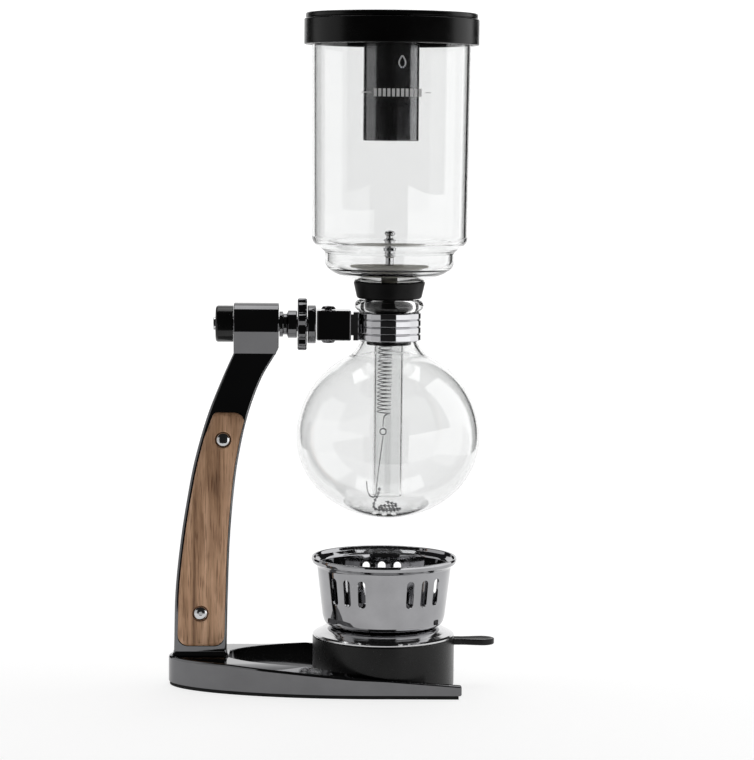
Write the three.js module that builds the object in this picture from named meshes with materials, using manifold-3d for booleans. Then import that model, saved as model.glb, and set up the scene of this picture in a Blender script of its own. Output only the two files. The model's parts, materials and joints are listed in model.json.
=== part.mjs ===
// Table-top siphon coffee brewer: a glass globe clamped to a curved stand, a stoppered glass upper
// chamber with a hooked filter, a lid that doubles as a stand, and a spirit burner with a wind shield.
// Millimetres, +Z up, +X from the stem towards the globe, front towards -Y.
// X values below are measured from the glass axis; the whole model is shifted so that the origin lies
// under the middle of its bounding box.

import * as THREE from "three";
import { mergeVertices } from "three/addons/utils/BufferGeometryUtils.js";
import Module from "manifold-3d";

const wasm = await Module();
wasm.setup();

// ---------------------------------------------------------------- driving dimensions
const GAP = 0.3; // clearance between touching pieces
const FINE = 28; // sides of the large round pieces
const COARSE = 12; // sides of the small round pieces
const REACH = 60; // half length of a cutting tool that passes right through

const BASE = {
  noseX: -118.9,
  tipX: 39.5,
  outerB: 42.3, // half width outside
  outerCentreX: -5,
  innerA: 85, // half length of the opening's elliptical end
  innerB: 39.3, // half width inside
  innerCentreX: -3,
  soleZ: 1.8, // thickness of the rubber sole
  soleInset: 0.7,
  plateauX: -87, // the top is level from the nose to here
  plateauZ: 16.4,
  tipZ: 7.1,
  crown: 0.13, // rise across the arm, from the outer edge to the inner one
  edge: 1.6, // bevel of the outer top edge
  armX: [25, 10], // further stations along the straight tips
  levelFrom: 2, // the inner edge leaves the plateau over this range, from the plateau's end
  levelTo: 22,
};

const STEM = {
  thick: 13,
  edge: 1.2, // bevel of the long edges
  footZ: 18, // the foot spreads below this height
  footFlare: 1.2,
  pocket: 1.8, // depth of the pockets for the grips
  // height, left edge, right edge
  stations: [
    [16.7, -117.0, -85.6],
    [19, -115.9, -86.9],
    [24, -115.7, -87.0],
    [52, -115.1, -86.5],
    [80, -112.3, -85.6],
    [105, -108.5, -83.7],
    [125, -104.6, -81.2],
    [148, -98.1, -76.3],
    [168, -90.3, -69.2],
    [182.1, -84.1, -61.2],
  ],
};

const GRIP = {
  bottomZ: 22,
  topZ: 150,
  marginLeft: 2,
  marginRight: 1.3,
  corner: 6,
  topLeftCorner: 3,
  proud: 1.3, // height of the face above the stem
  crown: [[0, -1], [-0.6, -0.4], [-1.4, 0]], // outline growth and height of each step, from the face
};
const GRIP_SCREWS = { upper: [-89.5, 135.2], lower: [-101.3, 39.9] };
const GRIP_SCREW = { headR: 3.8, shankR: 2, seat: 2.1, rimR: 3, rise: 0.3, socketR: 1.6, socket: 0.8 };
const STEM_BOLTS_X = [-108, -94];
const STEM_BOLT = { r: 2.5, headR: 4.6, headHeight: 3, depth: 9, socketR: 1.7, socket: 1.6 };

const ARM_Z = 197.7; // height of the clamp arm's axis
const BARREL = { x0: -84.1, x1: -59.7, r: 11.5, keyZ: 184.1, skirtZ: 194.6, skirtHalfY: 11.05 };
const END_CAP = { x0: -93.9, x1: -84.4, r: 9.9 };
const CAP_SCREW = { x0: -95.2, r: 3.6, depth: 4 };
const SPINDLE = { x0: -59.4, shoulderX: -55, x1: -49.9, r: 7.5, neckR: 6.4, shaftR: 4, shaftEndX: -39.6 };
const KNOB = { x0: -49.6, x1: -44.5, r: 14.1, lobes: 10, lobeDepth: 1.9, bevel: 0.8 };
const COLLAR = { x0: -44.2, x1: -39.6, r: 10.4, bevel: 0.8 };
const HOUSING = { x0: -39.3, x1: -20.7, halfY: 10, halfZ: 8.1, wall: 1.9, endWall: 1.4 };
const PIN = { x: -32.9, r: 1.9, headR: 3.9, headHeight: 1.9, rimHeight: 0.8, bevel: 1.6 };
const JAW = { knuckleR: 4.6, tailY: 4.6, rootX: -19.4, split: 0.5 };

const BAND = { r: 17.5, boreR: 16.4, ribDepth: 0.5, ribs: 4, ribPitch: 3.9, z0: 189.4, z1: 204.8 };
const LINER = { wall: 0.45, inset: 0.6, split: 0.8 };

const GLOBE = {
  r: 49.9,
  centreZ: 136,
  lowerHalf: 43.5, // half height of the flattened lower half
  wall: 1.8,
  neckR: 15.3,
  neckBoreR: 13.3,
  neckZ: 188.4,
  lipZ: 205.2,
  lipR: 18.7,
  topZ: 211.6,
};

const STOPPER = {
  flangeR: 19.3,
  flangeBottomR: 17.4,
  flangeZ: 212.1,
  topZ: 221.2,
  plugR: 12.9,
  tipR: 12,
  tipZ: 186.7,
};

const BOWL = {
  wall: 2,
  rimR: 43.1,
  rimZ: 360,
  stepZ: 248,
  stepR: 42.2,
  lowerR: 35,
  lowerTopZ: 237,
  lowerZ: 231.5,
  slopeR: 30.6,
  slopeZ: 226,
  seatR: 19.1,
  seatZ: 221.8,
  tubeR: 8,
  tubeBoreR: 6.9,
  tubeTopZ: 216.4,
  tubeEndZ: 104.3,
};

const FILTER = { discR: 21.5, z0: 225.9, z1: 228.1, hubR: 4.4, hubZ: 221.4 };
const FILTER_POST = [
  [2.2, 228.4], [2.2, 234.3], [2.7, 234.8], [2.7, 239], [3.5, 239.6], [2.9, 244.2], [1.8, 244.9],
];
const FILTER_BALL = { r: 2.85, halfHeight: 1.8, z: 247.3, startAngle: -48 };
const SPRING = { r: 3.6, wireR: 0.33, pitch: 2.1, topZ: 202, endZ: 149.6, topLean: -1.6, endLean: -2.4 };
const PULL_RING = { r: 1.7, wireR: 0.35, x: -2.6, z: 139.4 };
const HANGER = { r: 0.5, path: [[0, 0, FILTER.hubZ - GAP], [0, 0, 214], [-0.6, 0, 208]] };
// From the pull ring down the tube, round under its end and up outside it.
const HOOK = {
  r: 0.35,
  path: [
    [-3.4, 0, 130], [-5.6, 0, 112], [-6.0, 0, 106], [-6.7, 0, 103.6], [-8.1, 0, 103.1],
    [-9.9, 0, 104.4], [-11.0, 0, 107.6], [-11.3, 0, 111.6],
  ],
};
// From the hook's shank out of the tube, into a loose heap on the floor of the globe.
const CHAIN = {
  r: 0.95,
  path: [
    [-4.5, 1.2, 108.4], [-4.4, 1.5, 106.8], [-5.0, 1.5, 104.8], [-6.1, 1.5, 102.2], [-7.1, 1.3, 99.8],
    [-7.4, 0.1, 97.7], [-6.2, -1.7, 96.4], [-3.0, -2.8, 96.1], [0.8, -3.2, 96.0], [4.6, -2.7, 96.1],
    [7.0, -0.4, 96.4], [5.2, 1.9, 96.2], [1.6, 2.6, 96.1], [-2.2, 2.4, 96.1], [-4.4, 0.6, 97.2],
    [-2.4, -0.7, 98.3], [1.2, -1.2, 98.4], [4.4, -0.7, 98.3], [5.2, 1.0, 98.8], [2.4, 1.5, 99.6],
    [-0.8, 0.8, 100.4],
  ],
};

const LID = {
  r: 47.1,
  topR: 46.3,
  boreR: 43.5,
  z0: 348.6,
  tierZ: 362.5,
  topZ: 365.5,
  plateZ: 360.4,
  tubeR: 15.1,
  tubeBoreR: 12.8,
  tubeZ: 297.2,
};

const BURNER_X = -1.4; // burner axis, from the glass axis
const SLEEVE = { r: 38.8, wall: 2, topZ: 27.3, floor: 1.6, corner: 1.5 };
const TAB = { rootX: 35.9, neckX: 44, tipX: 59.5, halfY: 6.2, neckHalfY: 4.6, z0: 22.6, z1: 25.9 };
const FONT = { r: 36.2, topZ: 22.6, corner: 2 };
// The skirt drops inside the sleeve; the brim covers the sleeve's rim.
const COLLAR_DOME = {
  skirtR: 36.4,
  z0: 23,
  brimR: 38.6,
  brimZ: 28.2,
  shoulderR: 35,
  shoulderZ: 30.4,
  topR: 29.5,
  topZ: 32.6,
  boreR: 9.4,
};
const SHIELD = {
  rimR: 39.8,
  rimZ: 71,
  lipZ: 68,
  bodyR: 36.7,
  bodyZ: 66.5,
  lowR: 33.3,
  lowZ: 38,
  footR: 28.5,
  footZ: 32.6,
  wall: 1,
  boreR: 10,
};
const SLOTS = { groups: 5, perGroup: 3, pitch: 14.4, width: 4.3, height: 15, z: 54.8, firstAngle: -35.8 };
const WICK_HOLDER = {
  r: 9,
  z0: 22.9,
  shoulderZ: 33,
  shoulderR: 8.6,
  tubeR: 6.4,
  tubeZ: 34.6,
  topZ: 46,
  boreR: 4.2,
};
const WICK = { r: 3.9, z0: 23.1, tipZ: 53, tipR: 2.7, tipRound: 1.4 };

const AXIS_X = -(BASE.noseX + TAB.tipX) / 2; // glass axis, from the middle of the bounding box

// ---------------------------------------------------------------- materials
const finish = (color, roughness, metalness, opacity = 1) =>
  new THREE.MeshStandardMaterial({ color, roughness, metalness, opacity, transparent: opacity < 1 });

const blackNickel = () => finish(0x1b1b1d, 0.1, 1);
const satinBlack = () => finish(0x161616, 0.45, 0);
const clearGlass = () => finish(0xeef4f4, 0.03, 0, 0.25);
const rubber = () => finish(0x101010, 0.8, 0);
const walnut = () => finish(0x96735a, 0.6, 0);
const steel = () => finish(0xc4c6c8, 0.2, 1);
const tintedSteel = () => finish(0x4a4a4e, 0.12, 1);
const cotton = () => finish(0xe6e0d0, 0.95, 0);

// ---------------------------------------------------------------- shape helpers
const radians = THREE.MathUtils.degToRad;
const lerp = THREE.MathUtils.lerp;

// Solid of revolution about Z from [radius, height] points.
function turned(profile, sides = FINE) {
  const points = profile.map(([r, z]) => new THREE.Vector2(r, z));
  return new THREE.LatheGeometry(points, sides).rotateX(Math.PI / 2);
}

// Ring of revolution: the profile closes on itself.
const turnedRing = (profile, sides = FINE) => turned([...profile, profile[0]], sides);

// Points of an elliptical arc, from angle a0 to a1 in degrees.
function arc(cx, cz, rx, rz, a0, a1, steps) {
  return Array.from({ length: steps + 1 }, (_, i) => {
    const a = radians(lerp(a0, a1, i / steps));
    return [cx + rx * Math.cos(a), cz + rz * Math.sin(a)];
  });
}

function toSolid(geometry) {
  const bare = geometry.clone();
  bare.deleteAttribute("normal");
  bare.deleteAttribute("uv");
  const merged = mergeVertices(bare, 1e-4);
  const vertProperties = new Float32Array(merged.attributes.position.array);
  const triVerts = new Uint32Array(merged.index.array);
  return new wasm.Manifold(new wasm.Mesh({ numProp: 3, vertProperties, triVerts }));
}

function toGeometry(solid) {
  const { vertProperties, triVerts } = solid.getMesh();
  const geometry = new THREE.BufferGeometry();
  geometry.setAttribute("position", new THREE.BufferAttribute(vertProperties, 3));
  geometry.setIndex(new THREE.BufferAttribute(triVerts, 1));
  geometry.computeVertexNormals();
  return geometry;
}

const cut = (geometry, ...tools) =>
  toGeometry(tools.reduce((solid, tool) => solid.subtract(toSolid(tool)), toSolid(geometry)));
const join = (geometry, ...others) =>
  toGeometry(others.reduce((solid, other) => solid.add(toSolid(other)), toSolid(geometry)));

// Box between two corners.
function block(x0, y0, z0, x1, y1, z1) {
  const box = new THREE.BoxGeometry(x1 - x0, y1 - y0, z1 - z0);
  return box.translate((x0 + x1) / 2, (y0 + y1) / 2, (z0 + z1) / 2);
}

// Cylinder about Z from z0 to z1.
function rod(r, z0, z1, sides = COARSE) {
  return turned([[0, z0], [r, z0], [r, z1], [0, z1]], sides);
}

// Cylinder along Y through the point (x, z), and one along X on the arm's axis.
const rodY = (r, x, z, y0 = -REACH, y1 = REACH) => rod(r, -y1, -y0).rotateX(Math.PI / 2).translate(x, 0, z);
const rodX = (r, x0, x1, sides) => rod(r, x0, x1, sides).rotateY(Math.PI / 2).translate(0, 0, ARM_Z);

// Solid through rings of equal length, each a list of Vector3 seen counter-clockwise from the last ring.
function loft(rings) {
  const n = rings[0].length;
  const position = rings.flat().flatMap((p) => [p.x, p.y, p.z]);
  const index = [];
  for (let k = 0; k + 1 < rings.length; k++) {
    for (let i = 0; i < n; i++) {
      const [a, b] = [k * n + i, k * n + ((i + 1) % n)];
      index.push(a, b, b + n, a, b + n, a + n);
    }
  }
  const last = (rings.length - 1) * n;
  for (let i = 1; i + 1 < n; i++) {
    index.push(0, i + 1, i);
    index.push(last, last + i, last + i + 1);
  }
  const geometry = new THREE.BufferGeometry();
  geometry.setAttribute("position", new THREE.Float32BufferAttribute(position, 3));
  geometry.setIndex(index);
  return geometry;
}

// Round wire along a smooth curve through [x, y, z] points.
function wire(points, radius, steps, sides = 6) {
  const section = new THREE.Shape();
  section.absarc(0, 0, radius, 0, 2 * Math.PI);
  const path = new THREE.CatmullRomCurve3(points.map((p) => new THREE.Vector3(...p)));
  const outline = new THREE.Shape(section.getSpacedPoints(sides).slice(0, sides));
  return new THREE.ExtrudeGeometry(outline, { steps, extrudePath: path, bevelEnabled: false });
}

// Flat outline in X and Z, extruded along Y from y0 to y1.
function plateXZ(outline, y0, y1) {
  const shape = new THREE.Shape(outline.map(([x, z]) => new THREE.Vector2(x, z)));
  const plate = new THREE.ExtrudeGeometry(shape, { depth: y1 - y0, bevelEnabled: false });
  return plate.rotateX(Math.PI / 2).translate(0, y1, 0);
}

const glassAxis = new THREE.Group();
glassAxis.position.x = AXIS_X;
const armAxis = new THREE.Group(); // local Z runs along +X
armAxis.position.set(AXIS_X, 0, ARM_Z);
armAxis.rotation.y = Math.PI / 2;
const burnerAxis = new THREE.Group();
burnerAxis.position.x = AXIS_X + BURNER_X;
const brewer = new THREE.Group();
brewer.add(glassAxis, armAxis, burnerAxis);

function place(group, name, geometry, material) {
  const mesh = new THREE.Mesh(geometry, material);
  mesh.name = name;
  group.add(mesh);
}

// ---------------------------------------------------------------- base and sole
// Height of the base's top at its outer edge.
function baseTop(x) {
  if (x < BASE.plateauX) return BASE.plateauZ;
  return lerp(BASE.plateauZ, BASE.tipZ, (x - BASE.plateauX) / (BASE.tipX - BASE.plateauX));
}

// Matching outer and inner outline points from the front tip, round the nose, to the back tip.
function baseStations(inset) {
  const stations = [];
  const add = (ox, oy, ix, iy) => stations.push({ outer: [ox, oy], inner: [ix, iy] });
  const outerA = BASE.outerCentreX - BASE.noseX - inset;
  const outerB = BASE.outerB - inset;
  const innerA = BASE.innerA + inset;
  const innerB = BASE.innerB + Math.min(inset, 0.4);
  const arms = [BASE.tipX - inset, ...BASE.armX];
  arms.forEach((x) => add(x, -outerB, x, -innerB));
  const steps = 20;
  for (let i = 0; i <= steps; i++) {
    const a = radians(lerp(270, 90, i / steps));
    const outer = [BASE.outerCentreX + outerA * Math.cos(a), outerB * Math.sin(a)];
    add(...outer, BASE.innerCentreX + innerA * Math.cos(a), innerB * Math.sin(a));
  }
  arms.reverse().forEach((x) => add(x, outerB, x, innerB));
  return stations;
}

function makeBase() {
  const bottom = BASE.soleZ + GAP / 2;
  const rings = baseStations(0).map(({ outer, inner }) => {
    const width = Math.hypot(outer[0] - inner[0], outer[1] - inner[1]);
    const edge = Math.min(BASE.edge, width / 3);
    const bevelled = outer.map((v, i) => lerp(v, inner[i], edge / width));
    const { plateauX, plateauZ, levelFrom, levelTo } = BASE;
    const sloped = THREE.MathUtils.smoothstep(inner[0], plateauX + levelFrom, plateauX + levelTo);
    const top = baseTop(outer[0]);
    const innerTop = lerp(plateauZ, Math.min(plateauZ, top + BASE.crown * width), sloped);
    return [
      new THREE.Vector3(...outer, bottom),
      new THREE.Vector3(...outer, top - edge),
      new THREE.Vector3(...bevelled, top),
      new THREE.Vector3(...inner, innerTop),
      new THREE.Vector3(...inner, bottom),
    ];
  });
  return loft(rings);
}

function makeSole() {
  const rings = baseStations(BASE.soleInset).map(({ outer, inner }) => [
    new THREE.Vector3(...outer, 0),
    new THREE.Vector3(...outer, BASE.soleZ - GAP / 2),
    new THREE.Vector3(...inner, BASE.soleZ - GAP / 2),
    new THREE.Vector3(...inner, 0),
  ]);
  return loft(rings);
}

const boltHoles = (bottom, top, headTop) =>
  STEM_BOLTS_X.flatMap((x) => [
    rod(STEM_BOLT.r + GAP, bottom, top).translate(x, 0, 0),
    rod(STEM_BOLT.headR + GAP, bottom, headTop).translate(x, 0, 0),
  ]);

const boltHeadZ = BASE.soleZ + STEM_BOLT.headHeight;
const baseHoles = boltHoles(0, BASE.plateauZ + 1, boltHeadZ + GAP);
place(glassAxis, "base", cut(makeBase(), ...baseHoles), blackNickel());
place(glassAxis, "sole_pad", cut(makeSole(), ...boltHoles(-1, BASE.soleZ, BASE.soleZ)), rubber());

// ---------------------------------------------------------------- stem, grips and their fasteners
const stemEdge = (column) =>
  new THREE.SplineCurve(STEM.stations.map((s) => new THREE.Vector2(s[0], s[column])));

// X of the stem's left (1) or right (2) edge at height z.
function stemEdgeX(z, column) {
  const stations = STEM.stations;
  const last = stations.length - 2;
  const found = stations.findIndex((s, i) => i <= last && z <= stations[i + 1][0]);
  const k = found < 0 ? last : found;
  const t = (z - stations[k][0]) / (stations[k + 1][0] - stations[k][0]);
  return stemEdge(column).getPoint((k + t) / (stations.length - 1)).y;
}

// Rectangle with cut corners in X and Y at height z.
function cutRectangle(x0, x1, halfY, corner, z) {
  const [xa, xb, ya] = [x0 + corner, x1 - corner, halfY - corner];
  const points = [
    [xa, -halfY], [xb, -halfY], [x1, -ya], [x1, ya], [xb, halfY], [xa, halfY], [x0, ya], [x0, -ya],
  ];
  return points.map(([x, y]) => new THREE.Vector3(x, y, z));
}

function gripOutline(grow) {
  const z0 = GRIP.bottomZ - grow;
  const z1 = GRIP.topZ + grow;
  const left = (z) => stemEdgeX(z, 1) + GRIP.marginLeft - grow;
  const right = (z) => stemEdgeX(z, 2) - GRIP.marginRight + grow;
  const c = GRIP.corner;
  const outline = [];
  arc(left(z0) + c, z0 + c, c, c, 180, 270, 3).forEach((p) => outline.push(p));
  arc(right(z0) - c, z0 + c, c, c, 270, 360, 3).forEach((p) => outline.push(p));
  const heights = [50, 78, 103, 125];
  heights.forEach((z) => outline.push([right(z), z]));
  arc(right(z1) - c - 1, z1 - c, c, c, 15, 90, 3).forEach((p) => outline.push(p));
  const small = GRIP.topLeftCorner;
  arc(left(z1) + small, z1 - small, small, small, 90, 165, 2).forEach((p) => outline.push(p));
  heights.reverse().forEach((z) => outline.push([left(z), z]));
  return outline;
}

function makeStem() {
  const halfY = STEM.thick / 2;
  const { edge, pocket, footZ, footFlare } = STEM;
  const blade = loft(STEM.stations.map(([z, x0, x1]) =>
    cutRectangle(x0, x1, halfY + (z < footZ ? footFlare : 0), edge, z)));
  const [topZ, topLeft, topRight] = STEM.stations[STEM.stations.length - 1];
  // The keystone widens evenly in Y up to the barrel's skirt.
  const { x0, x1, skirtZ, skirtHalfY, keyZ } = BARREL;
  const keyHalfY = lerp(halfY, skirtHalfY, (keyZ - topZ) / (skirtZ - topZ));
  const keystone = loft([
    cutRectangle(topLeft, topRight, halfY, edge, topZ - edge / 2),
    cutRectangle(x0, x1 - edge, keyHalfY, edge, keyZ),
    cutRectangle(x0, x1, skirtHalfY, edge, skirtZ),
    cutRectangle(x0, x1, skirtHalfY, edge, ARM_Z),
  ]);
  const barrel = rodX(BARREL.r, x0, x1, FINE);
  const pockets = [
    plateXZ(gripOutline(GAP), -REACH, -halfY + pocket),
    plateXZ(gripOutline(GAP), halfY - pocket, REACH),
  ];
  const screwHoles = Object.values(GRIP_SCREWS).map(([x, z]) => rodY(GRIP_SCREW.shankR + GAP, x, z));
  const footBottom = STEM.stations[0][0];
  const boltSockets = STEM_BOLTS_X.map((x) =>
    rod(STEM_BOLT.r + GAP, footBottom - 1, footBottom + STEM_BOLT.depth).translate(x, 0, 0),
  );
  const bore = rodX(SPINDLE.shaftR + GAP, x0 - 1, x1 + 1);
  return cut(join(blade, keystone, barrel), ...pockets, ...screwHoles, ...boltSockets, bore);
}
place(glassAxis, "stem", makeStem(), blackNickel());

// A crowned board: the outline shrinks in two steps towards its outer face.
function makeGrip(side) {
  const inner = STEM.thick / 2 - STEM.pocket + GAP;
  const face = STEM.thick / 2 + GRIP.proud;
  const [first, ...others] = GRIP.crown.map(([grow, rise]) => plateXZ(gripOutline(grow), inner, face + rise));
  const { headR, shankR, seat } = GRIP_SCREW;
  const screwHoles = Object.values(GRIP_SCREWS).flatMap(([x, z]) => [
    rodY(shankR + GAP, x, z),
    rodY(headR + GAP * 2, x, z, face - seat - GAP, REACH),
  ]);
  return cut(join(first, ...others), ...screwHoles).scale(1, side, 1);
}

// Mirroring turns the faces inside out, so the index is reversed with it.
function mirroredY(geometry) {
  const index = geometry.index.array;
  for (let i = 0; i < index.length; i += 3) [index[i + 1], index[i + 2]] = [index[i + 2], index[i + 1]];
  return geometry;
}
place(glassAxis, "grip_back", makeGrip(1), walnut());
place(glassAxis, "grip_front", mirroredY(makeGrip(-1)), walnut());

for (const [where, [x, z]] of Object.entries(GRIP_SCREWS)) {
  const face = STEM.thick / 2 + GRIP.proud;
  const { headR, shankR, seat, rimR, rise, socketR, socket } = GRIP_SCREW;
  const head = [[headR, face - seat], [headR, face - rise], [rimR, face + rise]];
  // The screw comes from the front; its sleeve nut takes it at the back.
  const screw = turned([
    [0, 1 - face], [shankR, 1 - face], [shankR, face - seat], ...head, [socketR, face + rise],
    [socketR, face - socket], [0, face - socket],
  ], COARSE);
  place(glassAxis, "grip_screw_" + where, screw.rotateX(Math.PI / 2).translate(x, 0, z), steel());
  const nut = turned([[0, face - seat], ...head, [0, face + rise]], COARSE);
  const thread = rod(shankR + GAP, face - seat - 1, face - socket);
  place(glassAxis, "grip_nut_" + where, cut(nut, thread).rotateX(-Math.PI / 2).translate(x, 0, z), steel());
}

STEM_BOLTS_X.forEach((x, i) => {
  const { r, headR, depth, socketR, socket } = STEM_BOLT;
  const headZ = BASE.soleZ + GAP;
  const tipZ = BASE.plateauZ + depth;
  const bolt = turned([
    [0, headZ + socket], [socketR, headZ + socket], [socketR, headZ], [headR, headZ], [headR, boltHeadZ],
    [r, boltHeadZ], [r, tipZ], [0, tipZ],
  ], COARSE);
  place(glassAxis, "stem_bolt_" + (i + 1), bolt.translate(x, 0, 0), steel());
});

// ---------------------------------------------------------------- clamp arm
place(armAxis, "end_cap", cut(
  turned([
    [0, END_CAP.x0], [END_CAP.r - 1.6, END_CAP.x0], [END_CAP.r - 0.5, END_CAP.x0 + 0.5],
    [END_CAP.r, END_CAP.x0 + 1.6], [END_CAP.r, END_CAP.x1], [0, END_CAP.x1],
  ]),
  rod(SPINDLE.shaftR + GAP, END_CAP.x0 - 1, END_CAP.x1 + 1),
), satinBlack());

const capScrewEnd = BARREL.x0 + CAP_SCREW.depth;
place(armAxis, "cap_screw", turned([
  [0, CAP_SCREW.x0], [CAP_SCREW.r - GAP, CAP_SCREW.x0], [CAP_SCREW.r, CAP_SCREW.x0 + GAP],
  [CAP_SCREW.r, capScrewEnd], [0, capScrewEnd],
], COARSE), steel());

place(armAxis, "spindle", turned([
  [0, capScrewEnd + 1], [SPINDLE.shaftR, capScrewEnd + 1],
  [SPINDLE.shaftR, SPINDLE.x0], [SPINDLE.neckR, SPINDLE.x0], [SPINDLE.neckR, SPINDLE.shoulderX],
  [SPINDLE.r, SPINDLE.shoulderX + 0.6], [SPINDLE.r, SPINDLE.x1 - 0.6], [SPINDLE.r - 0.6, SPINDLE.x1],
  [SPINDLE.shaftR, SPINDLE.x1], [SPINDLE.shaftR, SPINDLE.shaftEndX], [0, SPINDLE.shaftEndX],
], COARSE), blackNickel());

// Round lobes between shallow scallops.
function makeKnob() {
  const mid = KNOB.r - KNOB.lobeDepth / 2;
  const perLobe = 4;
  const outline = Array.from({ length: KNOB.lobes * perLobe }, (_, i) => {
    const a = (2 * Math.PI * i) / (KNOB.lobes * perLobe);
    const r = mid + (KNOB.lobeDepth / 2) * Math.cos(KNOB.lobes * a);
    return new THREE.Vector2(r * Math.cos(a), r * Math.sin(a));
  });
  const disc = (grow, z0, z1) =>
    new THREE.ExtrudeGeometry(new THREE.Shape(outline.map((p) => p.clone().multiplyScalar(grow))), {
      depth: z1 - z0,
      bevelEnabled: false,
    }).translate(0, 0, z0);
  const { x0, x1, r, bevel } = KNOB;
  const body = join(disc(1, x0 + bevel, x1 - bevel), disc(1 - bevel / r, x0, x1));
  return cut(body, rod(SPINDLE.shaftR + GAP, KNOB.x0 - 1, KNOB.x1 + 1));
}
place(armAxis, "star_knob", makeKnob(), blackNickel());

place(armAxis, "collar", turnedRing([
  [SPINDLE.shaftR + GAP, COLLAR.x0], [COLLAR.r - COLLAR.bevel, COLLAR.x0],
  [COLLAR.r, COLLAR.x0 + COLLAR.bevel], [COLLAR.r, COLLAR.x1 - COLLAR.bevel],
  [COLLAR.r - COLLAR.bevel, COLLAR.x1], [SPINDLE.shaftR + GAP, COLLAR.x1],
]), blackNickel());

const housingBottom = ARM_Z - HOUSING.halfZ;
const housingTop = ARM_Z + HOUSING.halfZ;
const { x0: housingX0, x1: housingX1, halfY: housingY, wall: housingWall } = HOUSING;
place(glassAxis, "clamp_housing", cut(
  block(housingX0, -housingY, housingBottom, housingX1, housingY, housingTop),
  block(housingX0 + HOUSING.endWall, -housingY + housingWall, housingBottom + housingWall,
    housingX1 + 1, housingY - housingWall, housingTop - housingWall),
  rod(PIN.r + GAP, housingBottom - 1, housingTop + 1).translate(PIN.x, 0, 0),
), blackNickel());

place(glassAxis, "jaw_pin", turned([
  [0, housingBottom - PIN.headHeight], [PIN.headR - PIN.bevel, housingBottom - PIN.headHeight],
  [PIN.headR, housingBottom - PIN.rimHeight], [PIN.headR, housingBottom - GAP], [PIN.r, housingBottom - GAP],
  [PIN.r, housingTop + GAP], [PIN.headR, housingTop + GAP], [PIN.headR, housingTop + PIN.rimHeight],
  [PIN.headR - PIN.bevel, housingTop + PIN.headHeight], [0, housingTop + PIN.headHeight],
], COARSE).translate(PIN.x, 0, 0), blackNickel());

// Everything on one side of the middle plane, from a distance out.
function sideOf(side, split) {
  const [y0, y1] = side > 0 ? [split, REACH] : [-REACH, -split];
  return block(-REACH, y0, 0, REACH, y1, 2 * ARM_Z);
}

// Half of a ribbed band, on the side given by the sign of Y, with a root, a tail and a knuckle on the pin.
function makeJaw(side, knuckleZ0, knuckleZ1) {
  const { r, boreR, ribDepth, ribs, ribPitch, z0, z1 } = BAND;
  const { knuckleR, tailY, rootX, split } = JAW;
  const outline = [];
  for (let i = 0; i < ribs; i++) {
    const middle = (z0 + z1) / 2 + (i - (ribs - 1) / 2) * ribPitch;
    const [low, high] = [middle - ribPitch / 2, middle + ribPitch / 2];
    outline.push([r - ribDepth, low + 0.1], [r, low + 1.1], [r, high - 1.1]);
  }
  const ring = turnedRing([[boreR, z0], ...outline, [r - ribDepth, z1], [boreR, z1]]);
  const half = toSolid(ring).intersect(toSolid(sideOf(side, split)));
  const [y0, y1] = side > 0 ? [split, tailY] : [-tailY, -split];
  const weldX = -boreR - 0.2;
  const tail = block(PIN.x + 1, y0, knuckleZ0, weldX, y1, knuckleZ1);
  const root = block(rootX, y0, z0, weldX, y1, z1);
  const knuckle = rod(knuckleR, knuckleZ0, knuckleZ1).translate(PIN.x, 0, 0);
  const bore = rod(PIN.r + GAP, 0, 2 * ARM_Z).translate(PIN.x, 0, 0);
  const added = [tail, root, knuckle].reduce((solid, piece) => solid.add(toSolid(piece)), half);
  return toGeometry(added.subtract(toSolid(bore)));
}
const knuckleBottom = housingBottom + HOUSING.wall + GAP;
const knuckleTop = housingTop - HOUSING.wall - GAP;
place(glassAxis, "jaw_front", makeJaw(-1, ARM_Z + GAP / 2, knuckleTop), blackNickel());
place(glassAxis, "jaw_back", makeJaw(1, knuckleBottom, ARM_Z - GAP / 2), blackNickel());

function makeLiner(side) {
  const outer = BAND.boreR - GAP;
  const inner = outer - LINER.wall;
  const [low, high] = [BAND.z0 + LINER.inset, BAND.z1 - LINER.inset];
  const ring = turnedRing([[inner, low], [outer, low], [outer, high], [inner, high]]);
  return toGeometry(toSolid(ring).intersect(toSolid(sideOf(side, LINER.split))));
}
place(glassAxis, "jaw_liner_front", makeLiner(-1), rubber());
place(glassAxis, "jaw_liner_back", makeLiner(1), rubber());

// ---------------------------------------------------------------- globe
function globeProfile() {
  const { r, centreZ, lowerHalf, wall, neckR, neckBoreR, neckZ, lipZ, lipR, topZ } = GLOBE;
  const lipMid = (lipZ + topZ) / 2;
  const lipHalf = (topZ - lipZ) / 2;
  const outer = [
    ...arc(0, centreZ, r, lowerHalf, -90, 0, 7),
    ...arc(0, centreZ, r, r, 12, 66, 5),
    [16.6, neckZ - 2.2],
    [neckR, neckZ],
    [neckR, lipZ - 0.6],
    ...arc(lipR - lipHalf, lipMid, lipHalf, lipHalf, -80, 80, 3),
  ];
  const inner = [
    [neckBoreR + 0.6, topZ - 0.3],
    [neckBoreR, topZ - 2],
    [neckBoreR, neckZ],
    [15, neckZ - 3.2],
    ...arc(0, centreZ, r - wall, r - wall, 67, 12, 5),
    ...arc(0, centreZ, r - wall, lowerHalf - wall, 0, -90, 7),
  ];
  return [...outer, ...inner];
}
place(glassAxis, "globe", turned(globeProfile()), clearGlass());

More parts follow.
